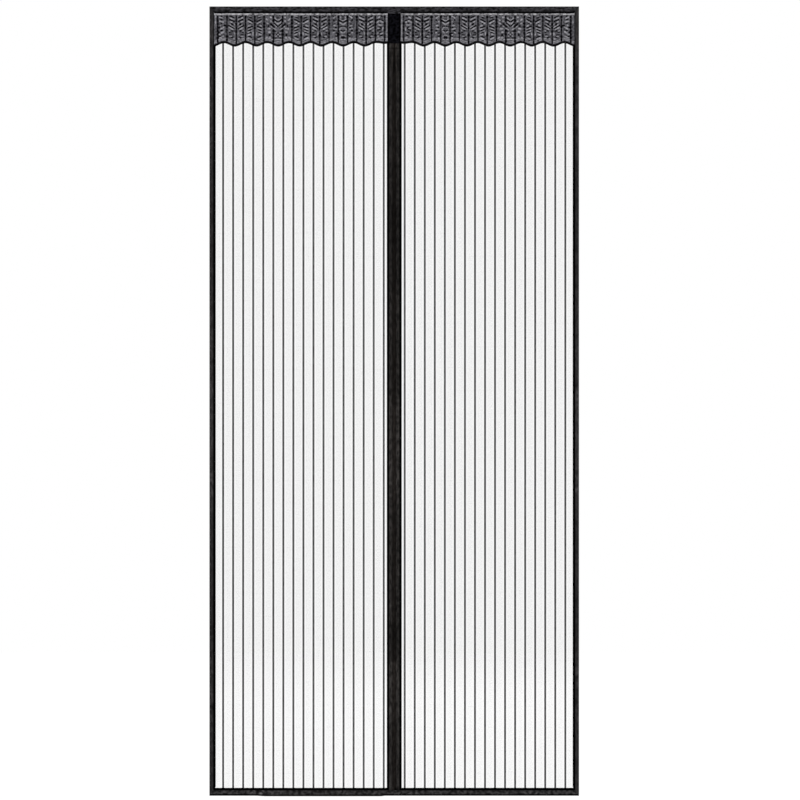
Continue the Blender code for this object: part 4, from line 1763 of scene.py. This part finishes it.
@dataclass
class Valance:
    """One strip of scalloped lace: dark ground, openwork figure and edge cords."""

    side: Side
    layout: Layout
    materials: dict[str, Material]
    cords: CordTree
    head: float = 0.0178
    depth: float = 0.1024
    scallop_rise: float = 0.0046
    end_lift: float = 0.0080
    end_reach: float = 0.035
    rib_pitch: float = 0.02467
    ribs_per_three_scallops: int = 7
    first_rib_inset: float = 0.0111
    last_rib_inset: float = 0.003
    end_gap: float = 0.0012
    hem_gap: float = 0.0007
    lobe_from_rib: float = -0.0037
    tuck: float = 0.010
    header: float = 0.0052
    edge_band: float = 0.0060
    ground_thickness: float = 0.0002
    plate_thickness: float = 0.0004
    dense_thickness: float = 0.0003
    edge_steps: int = 96
    bead_head: float = 0.0058
    bead_foot: float = 0.0062
    bead_pitch: float = 0.0092
    bead_width: float = 0.0066
    bead_share: float = 0.72
    bead_change: float = 0.80
    bead_neck: float = 0.0036
    bead_join: float = 0.00022
    bead_belly: float = 0.42
    broken_ribs: tuple[int, ...] = (6, 7)
    rib_break: tuple[float, float] = (0.0245, 0.0425)
    open_swell: float = 1.30
    dense_swell: float = 1.10
    stroke_margin: float = 0.0003
    taper: Pair = (0.6, 0.4)
    level_lines: tuple[float, ...] = (0.0085, 0.0125)
    level_width: float = 0.0016
    picot_depth: Pair = (0.0066, 0.0008)
    picot_reach: Pair = (0.0018, 0.0014)
    picot_width: Pair = (0.0024, 0.0010)
    picot_margin: float = 0.001
    cord_trims: tuple[float, ...] = (0.0008, 0.0022, 0.0036, 0.0050)
    cord_radius: float = 0.00070
    cord_proud: float = 0.0004
    cord_inset: float = 0.0008
    cord_steps: int = 160
    cord_wander: float = 0.0002

    @property
    def outer(self) -> float:
        """Where the strip ends towards the side."""
        return self.layout.lace_outer - self.end_gap

    def ribs(self) -> list[float]:
        """Return the ribs' distances from the centre line, from the outer end inward."""
        first = self.layout.lace_outer - self.first_rib_inset
        count = int((first - self.layout.lace_inner - self.last_rib_inset) / self.rib_pitch) + 1
        return [first - self.rib_pitch * n for n in range(count)]

    def edge(self, distance: float) -> float:
        """Return the height of the scalloped edge at a distance from the centre line."""
        pitch = self.rib_pitch * self.ribs_per_three_scallops / 3
        lobe = self.ribs()[2] - self.lobe_from_rib
        turn = math.tau * (distance - lobe) / pitch
        inner = self.layout.lace_inner
        lift = self.end_lift * (1.0 - smoothstep(inner, inner + self.end_reach, distance))
        return self.layout.top - self.depth - self.scallop_rise * math.cos(turn) + lift

    def z(self, depth: float) -> float:
        """Return the height of a depth below the lace's visible top."""
        return self.layout.top - self.head - depth

    def edge_line(self, start: float, end: float, trim: float, steps: int) -> Outline:
        """Return a line along the scalloped edge."""
        places = [start + (end - start) * n / steps for n in range(steps + 1)]
        return [(x, self.edge(x) + trim) for x in places]

    def body_outline(self, trim: float, inner: float, head: float) -> Outline:
        """Return an outline with a scalloped lower side."""
        lower = self.edge_line(inner, self.outer, trim, self.edge_steps)
        return lower + [(self.outer, head), (inner, head)]

    def slit(self, start: Point, end: Point, width: float) -> Outline:
        """Return a slit with pointed ends.

        Args:
            start: The (distance, height) of one end.
            end: The other end.
            width: The slit's width.

        Returns:
            Its corners.
        """
        along = Vector((end[0] - start[0], end[1] - start[1]))
        if along.length < width:
            along = along.normalized() * width if along.length else Vector((width, 0.0))
            end = (start[0] + along.x, start[1] + along.y)
        direction = along.normalized()
        normal = Vector((-direction.y, direction.x)) * width / 2
        taper = direction * min(width * self.taper[0], along.length * self.taper[1])
        first = Vector(start)
        last = Vector(end)
        corners = [
            first,
            first + taper - normal,
            last - taper - normal,
            last,
            last - taper + normal,
            first + taper + normal,
        ]
        return [(corner.x, corner.y) for corner in corners]

    def strokes(self, part: str, swell: float) -> list[Outline]:
        """Return the corners of one kind of stroke of every motif.

        Args:
            part: Whether to take the open or the dense strokes.
            swell: How much wider than written they are.

        Returns:
            The corners of each stroke.
        """
        lay = self.layout
        first = self.ribs()[0]
        shapes = []
        for place, motif in REPEAT:
            centre = first - self.rib_pitch * place
            for way in motif.ways:
                for stroke in getattr(motif, part):
                    start = (centre + way * stroke.outer / 1000, self.z(stroke.outer_depth / 1000))
                    end = (centre + way * stroke.inner / 1000, self.z(stroke.inner_depth / 1000))
                    shape = self.slit(start, end, stroke.width * swell / 1000)
                    if all(lay.lace_inner + self.stroke_margin < x < self.outer for x, _ in shape):
                        shapes.append(shape)
        return shapes

    def beads(self, rib: float, number: int) -> list[Outline]:
        """Return the chain of openings down one rib: wide beads on a narrow line.

        Args:
            rib: The rib's distance from the centre line.
            number: Its number from the outer end.

        Returns:
            The corners of each opening.
        """
        holes = []
        top = self.z(self.bead_head)
        bottom = self.edge(rib) + self.bead_foot
        count = max(2, round((top - bottom) / self.bead_pitch))
        pitch = (top - bottom) / count
        for n in range(count):
            z = top - pitch * (n + 0.5)
            if number in self.broken_ribs and self.z(self.rib_break[1]) < z < self.z(self.rib_break[0]):
                continue
            level = noise.noise(Vector((number * 3.7, n * 1.9, 2.0)))
            wide = self.bead_width * (self.bead_share + self.bead_change * level) / 2
            tall = pitch / 2 - self.bead_join
            neck = self.bead_neck / 2
            belly = tall * self.bead_belly
            holes.append(
                [
                    (rib - neck, z - tall),
                    (rib + neck, z - tall),
                    (rib + wide, z - belly * 0.5),
                    (rib + wide, z + belly * 0.5),
                    (rib + neck, z + tall),
                    (rib - neck, z + tall),
                    (rib - wide, z + belly * 0.5),
                    (rib - wide, z - belly * 0.5),
                ]
            )
        return holes

    def openings(self) -> list[Outline]:
        """Return every opening of the figure."""
        holes = self.strokes("open", self.open_swell)
        for number, rib in enumerate(self.ribs()):
            holes += self.beads(rib, number)
        return holes

    def level_band(self, trim: float) -> Outline:
        """Return a narrow band that follows the scalloped edge."""
        start = self.layout.lace_inner + self.hem_gap
        line = self.edge_line(start, self.outer - self.hem_gap, trim, self.edge_steps)
        return line + [(x, z + self.level_width) for x, z in reversed(line)]

    def plate(
        self,
        name: str,
        outlines: list[Outline],
        holes: list[Outline],
        back: float,
        thickness: float,
        material: str,
        nodes: Sequence[str] = (),
    ) -> Piece:
        """Make one layer of the lace: a closed flat plate with holes.

        Args:
            name: The layer's name, without the side.
            outlines: The (distance, height) corners of each part of it.
            holes: The corners of its openings.
            back: Depth of its back face in front of the back plane.
            thickness: Its thickness.
            material: The name of its material.
            nodes: The solids that it stands for.

        Returns:
            The plate.
        """
        points, tris = cut_plate(outlines, holes)
        bm = bmesh.new()
        verts = [bm.verts.new((self.side.value * x, -back - thickness, z)) for x, z in points]
        for tri in tris:
            bm.faces.new([verts[index] for index in tri])
        loose = [vert for vert in bm.verts if not vert.link_faces]
        bmesh.ops.delete(bm, geom=loose, context="VERTS")
        faces = list(bm.faces)
        grown = bmesh.ops.extrude_face_region(bm, geom=faces)["geom"]
        moved = [item for item in grown if isinstance(item, bmesh.types.BMVert)]
        bmesh.ops.translate(bm, verts=moved, vec=Vector((0.0, thickness, 0.0)))
        bmesh.ops.recalc_face_normals(bm, faces=bm.faces)
        made = object_from_bmesh(f"{self.side.label}_{name}", bm, [self.materials[material]])
        return dress(made, Slot.LACE, nodes)

    def area(self, outline: Outline) -> float:
        """Return the area inside an outline."""
        total = 0.0
        for (x1, z1), (x2, z2) in zip(outline, outline[1:] + outline[:1]):
            total += x1 * z2 - x2 * z1
        return abs(total) / 2

    def build(self) -> None:
        """Make the strip: ground, figure, header, hem and edge cords."""
        lay = self.layout
        node = f"{self.side.label}_valance"
        crown = self.z(0.0) + self.tuck
        sill = self.z(self.header)
        outline = self.body_outline(0.0, lay.lace_inner, crown)
        ground = self.plate(
            "lace_ground", [outline], [], lay.lace_back, self.ground_thickness, "lace_ground", [node]
        )
        front = lay.lace_back + self.ground_thickness
        openings = self.openings() + self.picots()
        inner = lay.lace_inner + self.hem_gap
        body = self.body_outline(self.edge_band, inner, sill)
        figure = self.plate("lace_figure", [body], openings, front, self.plate_thickness, "lace")
        head = [(inner, sill), (self.outer, sill), (self.outer, crown), (inner, crown)]
        header = self.plate("lace_header", [head], openings, front, self.plate_thickness, "lace_light")
        raised = self.strokes("dense", self.dense_swell)
        raised += [self.level_band(trim) for trim in self.level_lines]
        proud = front + self.plate_thickness
        dense = self.plate("lace_dense", raised, openings, proud, self.dense_thickness, "lace_dense")
        others = [figure, header, dense, self.edge_cord(front)]

    def picots(self) -> list[Outline]:
        """Return the small openings in a row below the header."""
        holes = []
        for number, rib in enumerate(self.ribs()):
            for part in (1, 2):
                level = noise.noise(Vector((number * 2.3, part * 5.1, 4.0)))
                depth, reach, width = (
                    usual + change * level
                    for usual, change in (self.picot_depth, self.picot_reach, self.picot_width)
                )
                x = rib - self.rib_pitch * part / 3
                z = self.z(depth)
                if x - reach > self.layout.lace_inner + self.picot_margin:
                    holes.append(self.slit((x - reach, z), (x + reach, z), width))
        return holes

    def edge_cord(self, front: float) -> Piece:
        """Make the thick cords along the scalloped edge."""
        depth = front + self.cord_proud
        start = self.layout.lace_inner + self.cord_inset
        paths = []
        for trim in self.cord_trims:
            line = self.edge_line(start, self.outer - self.cord_inset, trim, self.cord_steps)
            paths.append([Vector((self.side.value * x, -depth, z)) for x, z in line])
        name = f"{self.side.label}_lace_edge"
        yarn = self.materials["lace_edge"]
        made = self.cords.lay(name, paths, self.cord_radius, yarn, wander=self.cord_wander)
        smooth(made, 80.0)
        return dress(made, Slot.LACE)


# Patch, fastening tape and magnets


@dataclass
class CentrePatch:
    """The black tape that joins the two inner edges at the top."""

    layout: Layout
    materials: dict[str, Material]
    stitches: StitchTree
    tuck: float = 0.007
    slack: float = 0.001
    stitch: Stitch = Stitch(0.0032, 0.0025)
    seam_inset: float = 0.0025
    seam_proud: float = 0.0001
    face_tone: float = 1.10
    # Painted shade along the patch's two sides.
    side_shade: float = 0.35
    shaded_side: float = 0.0024
    side_blend: float = 0.001
    facing_half: float = 0.0195
    facing_taper: float = 0.0055
    facing_head: float = 0.0104
    facing_end: float = 0.0192
    facing_lip: Pair = (0.0003, 0.0002)
    facing_fall: float = 0.0040
    facing_proud: float = 0.0006
    facing_tape: float = 0.0004
    facing_steps: Pair = (0.0015, 0.001)
    steps: Pair = (0.001, 0.002)

    def facing(self) -> Piece:
        """Make the short piece of tape folded down over the patch's head."""
        lay = self.layout

        def ends(inward: float, front: bool) -> Point:
            """Ends of the run: narrower further down."""
            half = self.facing_half - self.facing_taper * smoothstep(lay.top_leaf, self.facing_end, inward)
            return -half, half

        lip, lip_rise = self.facing_lip
        low = lay.top_front_mid + self.facing_proud
        high = lay.patch_mid + self.facing_proud
        knees = [
            Knee(self.facing_head, low, True),
            Knee(lay.top_leaf + lip, low + lip_rise, True),
            Knee(lay.top_leaf + self.facing_fall, high, True),
            Knee(self.facing_end, high, True),
        ]
        creases = (Crease(-0.008, 0.004, 0.0002, 1.2), Crease(0.007, 0.005, 0.0002, 1.4))
        pucker = Pucker(seed=83.0, creases=creases, ripple=0.00008)
        tape = FoldedTape("facing", knees, ends, lay.across, pucker, self.facing_tape)
        tape.row_step, tape.cross_step = self.facing_steps
        return dress(tape.build([self.materials["top_tape"]]), Slot.TAPE)

    def build(self) -> None:
        """Make the patch, its facing and its seam."""
        lay = self.layout
        half = lay.patch_half

        def ends(inward: float, front: bool) -> Point:
            """Ends of the run, from side to side."""
            return -half, half

        step_start = lay.top_leaf + lay.tape
        step_end = lay.top_leaf + lay.back_leaf_extra
        reach = lay.top - lay.patch_bottom
        knees = [
            Knee(lay.top_leaf - self.tuck, lay.front_mid, True),
            Knee(step_start, lay.front_mid, True),
            Knee((step_start + step_end) / 2, (lay.front_mid + lay.patch_mid) / 2, True),
            Knee(step_end, lay.patch_mid, True),
            Knee(reach, lay.patch_mid, True),
        ]

        def shade(along: float, inward: float) -> float:
            """Darken the patch's sides with painted shade."""
            start = half - self.shaded_side
            turned = smoothstep(start - self.side_blend, start, abs(along))
            return self.face_tone + (self.side_shade - self.face_tone) * turned

        pucker = Pucker(seed=71.0, ripple=0.00012)
        tape = FoldedTape("patch", knees, ends, lay.across, pucker, lay.tape, shade=shade)
        tape.row_step, tape.cross_step = self.steps
        piece = tape.build([self.materials["patch"]])
        dress(piece, Slot.PATCH, ["centre_patch"])
        inset = self.seam_inset
        depth = lay.patch_mid + lay.tape / 2 + self.seam_proud
        high = lay.top - step_end - inset
        low = lay.patch_bottom + inset
        corners = [(-half + inset, high), (-half + inset, low), (half - inset, low), (half - inset, high)]
        path = [Vector((x, -depth, z)) for x, z in corners]
        seam = self.stitches.sew("patch_seam", [path], self.stitch, self.materials["dark_thread"])
        dress(seam, Slot.PATCH)
        others = [seam, self.facing()]


@dataclass
class Fastening:
    """The looped tapes on the back and their pile."""

    materials: dict[str, Material]
    pile: PileTree
    spacing: float = 0.0035
    loop_height: float = 0.00055
    radius: float = 0.00013
    inset: float = 0.0008

    def build(self) -> None:
        """Stand a pile on each of the tapes' solids."""
        for seed, node in enumerate(("top_loop_tape", "left_loop_tape", "right_loop_tape")):
            low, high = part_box(node)
            bm = bmesh.new()
            corners = [
                (low.x + self.inset, high.y, low.z + self.inset),
                (high.x - self.inset, high.y, low.z + self.inset),
                (high.x - self.inset, high.y, high.z - self.inset),
                (low.x + self.inset, high.y, high.z - self.inset),
            ]
            bm.faces.new([bm.verts.new(corner) for corner in corners])
            source = object_from_bmesh("pile_base", bm, [])
            values = {
                "Spacing": self.spacing,
                "Loop Height": self.loop_height,
                "Radius": self.radius,
                "Seed": seed,
                "Material": self.materials["loop"],
            }
            piece = self.pile.run(node.replace("tape", "pile"), source, values)
            dress(piece, Slot.LOOP)


def dress_solids(materials: dict[str, Material], nodes: dict[str, Piece]) -> None:
    """Give the solids that remain visible their finishes.

    Args:
        materials: The finishes by their short names.
        nodes: The frame's solids by their names.
    """
    for name, node in nodes.items():
        for word, finish in (("magnet", "magnet"), ("loop_tape", "loop")):
            if word in name:
                for slot in node.material_slots:
                    slot.material = materials[finish]
                LOG.info("%s keeps its solid", name)


# Studio


@dataclass
class Studio:
    """Camera, floor, lamps and surroundings."""

    layout: Layout
    lens: float = 200.0
    sensor: float = 36.0
    frame_size: float = 2.1277
    aim_x: float = 0.0154
    aim_up: float = 0.0028
    floor_gap: float = 0.020
    floor_size: float = 14.0
    ambient: float = 0.52

    def camera(self) -> None:
        """Place the camera square to the screen's front."""
        lay = self.layout
        data = bpy.data.cameras.new("camera")
        data.lens = self.lens
        data.sensor_width = self.sensor
        data.clip_end = 60.0
        made = bpy.data.objects.new("camera", data)
        distance = self.frame_size * self.lens / self.sensor
        height = (lay.top + lay.bottom) / 2 + self.aim_up
        made.location = (self.aim_x, -distance - lay.front_mid, height)
        made.rotation_euler = (math.pi / 2, 0.0, 0.0)
        bpy.context.scene.collection.objects.link(made)
        bpy.context.scene.camera = made

    def floor(self) -> None:
        """Lay a pale floor just below the screen."""
        half = self.floor_size / 2
        z = self.layout.bottom - self.floor_gap
        bm = bmesh.new()
        corners = [(-half, -half), (half, -half), (half, half), (-half, half)]
        bm.faces.new([bm.verts.new((x, y, z)) for x, y in corners])
        made = object_from_bmesh("floor", bm, [PaleFloor().make()])

    def lamp(self, name: str, place: tuple[float, float, float], size: float, power: float) -> None:
        """Hang one large soft lamp that faces the screen's middle.

        Args:
            name: The lamp's name.
            place: Where it hangs.
            size: The side of its square.
            power: Its power in watts.
        """
        data = bpy.data.lights.new(name, "AREA")
        data.shape = "SQUARE"
        data.size = size
        data.energy = power
        made = bpy.data.objects.new(name, data)
        made.location = place
        aim = Vector((0.0, 0.0, (self.layout.top + self.layout.bottom) / 2)) - Vector(place)
        made.rotation_euler = aim.to_track_quat("-Z", "Y").to_euler()
        bpy.context.scene.collection.objects.link(made)

    def surroundings(self) -> None:
        """Make the world: soft light for the screen and plain white where it is seen."""
        world = bpy.data.worlds.new("surroundings")
        world.use_nodes = True
        world.node_tree.nodes.clear()
        tree = ShaderTree(world.node_tree)
        mix = tree.node("MixShader", {}, {0: tree.background_rays()})
        for number, strength in enumerate((self.ambient, 1.0), start=1):
            white = tree.node("Background", {}, {"Color": (1.0, 1.0, 1.0, 1.0), "Strength": strength})
            tree.feed(mix.inputs[number], white.outputs[0])
        tree.node("OutputWorld", {}, {"Surface": mix.outputs[0]})
        bpy.context.scene.world = world

    def build(self) -> None:
        """Set up the whole studio."""
        self.camera()
        self.floor()
        self.surroundings()
        self.lamp("key", (-2.6, -5.0, 1.6), 3.0, 105.0)
        self.lamp("fill", (3.0, -5.0, 0.2), 3.0, 75.0)
        self.lamp("back", (1.8, 4.6, 1.2), 2.5, 60.0)
        bpy.context.scene.view_settings.view_transform = "Standard"


def make_materials() -> dict[str, Material]:
    """Make every finish once, by its short name."""
    finishes = {
        "tape": WovenTape("binding_tape", (0.0310, 0.0290, 0.0298), mottle=0.38),
        "top_tape": WovenTape(
            "top_tape", (0.0265, 0.0256, 0.0290), mottle=0.95, mottle_length=0.012, mottle_width=0.005
        ),
        "lower_tape": WovenTape("lower_tape", (0.0362, 0.0347, 0.0353), mottle=0.85, mottle_length=0.008),
        # Near-black painted shade: the shadow lines along the bindings' inner edges and under the lower
        # folds.
        "shade": WovenTape("stay_tape", (0.0008, 0.0008, 0.0009), specular=0.0),
        "ribbon": WovenTape("centre_ribbon", (0.0242, 0.0222, 0.0212), specular=0.05, mottle=0.50),
        "channel": WovenTape("channel_tape", (0.0112, 0.0094, 0.0086), specular=0.02, mottle=0.35),
        "patch": WovenTape(
            "patch_tape", (0.0036, 0.0035, 0.0048), specular=0.0, mottle=0.90, mottle_length=0.008
        ),
        "thread": Yarn("sewing_thread", (0.022, 0.021, 0.022)),
        "dark_thread": Yarn("dark_thread", (0.0025, 0.0025, 0.0028), specular=0.02),
        "net": Yarn("net_thread", (0.050, 0.050, 0.053), relief=0.00001),
        "stripe": Yarn("stripe_cord", (0.034, 0.033, 0.036), twist=0.0016, relief=0.00008),
        "haze": NetHaze("net_haze", (0.055, 0.055, 0.058), 0.02),
        "lace": Knit("lace_figure", (0.100, 0.098, 0.110), mottle=0.50),
        "lace_dense": Knit("lace_dense", (0.330, 0.325, 0.352), mottle=0.40),
        "lace_light": Knit("lace_header", (0.320, 0.315, 0.332), mottle=0.75, blob=0.0075),
        "lace_ground": Knit("lace_ground", (0.0030, 0.0028, 0.0040), specular=0.0),
        "lace_edge": Yarn("lace_cord", (0.0050, 0.0048, 0.0054), twist=0.0012, relief=0.00008, specular=0.01),
        "loop": Pile("loop_pile", (0.012, 0.012, 0.013)),
        "magnet": Ferrite("ferrite", (0.045, 0.045, 0.048)),
    }
    return {key: finish.make() for key, finish in finishes.items()}


def corners(box: tuple[Vector, Vector]) -> list[list[float]]:
    """Return a box as plain lists."""
    return [[float(value) for value in corner] for corner in box]


def main() -> None:
    """Load the frame, build every piece of the screen round it and light it."""
    logging.basicConfig(level=logging.INFO, format="%(message)s")
    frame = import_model()
    layout = Layout.from_frame()
    materials = make_materials()
    cords = CordTree()
    stitches = StitchTree()
    Studio(layout).build()
    bindings = Bindings(layout, materials, cords, stitches)
    bindings.top()
    for side in Side:
        NetPanel(side, layout, materials, cords).build()
        Valance(side, layout, materials, cords).build()
        bindings.side(side)
        bindings.lower(side)
        bindings.centre(side)
    CentrePatch(layout, materials, stitches).build()
    Fastening(materials, PileTree()).build()
    dress_solids(materials, frame["nodes"])


if __name__ == "__main__":
    main()
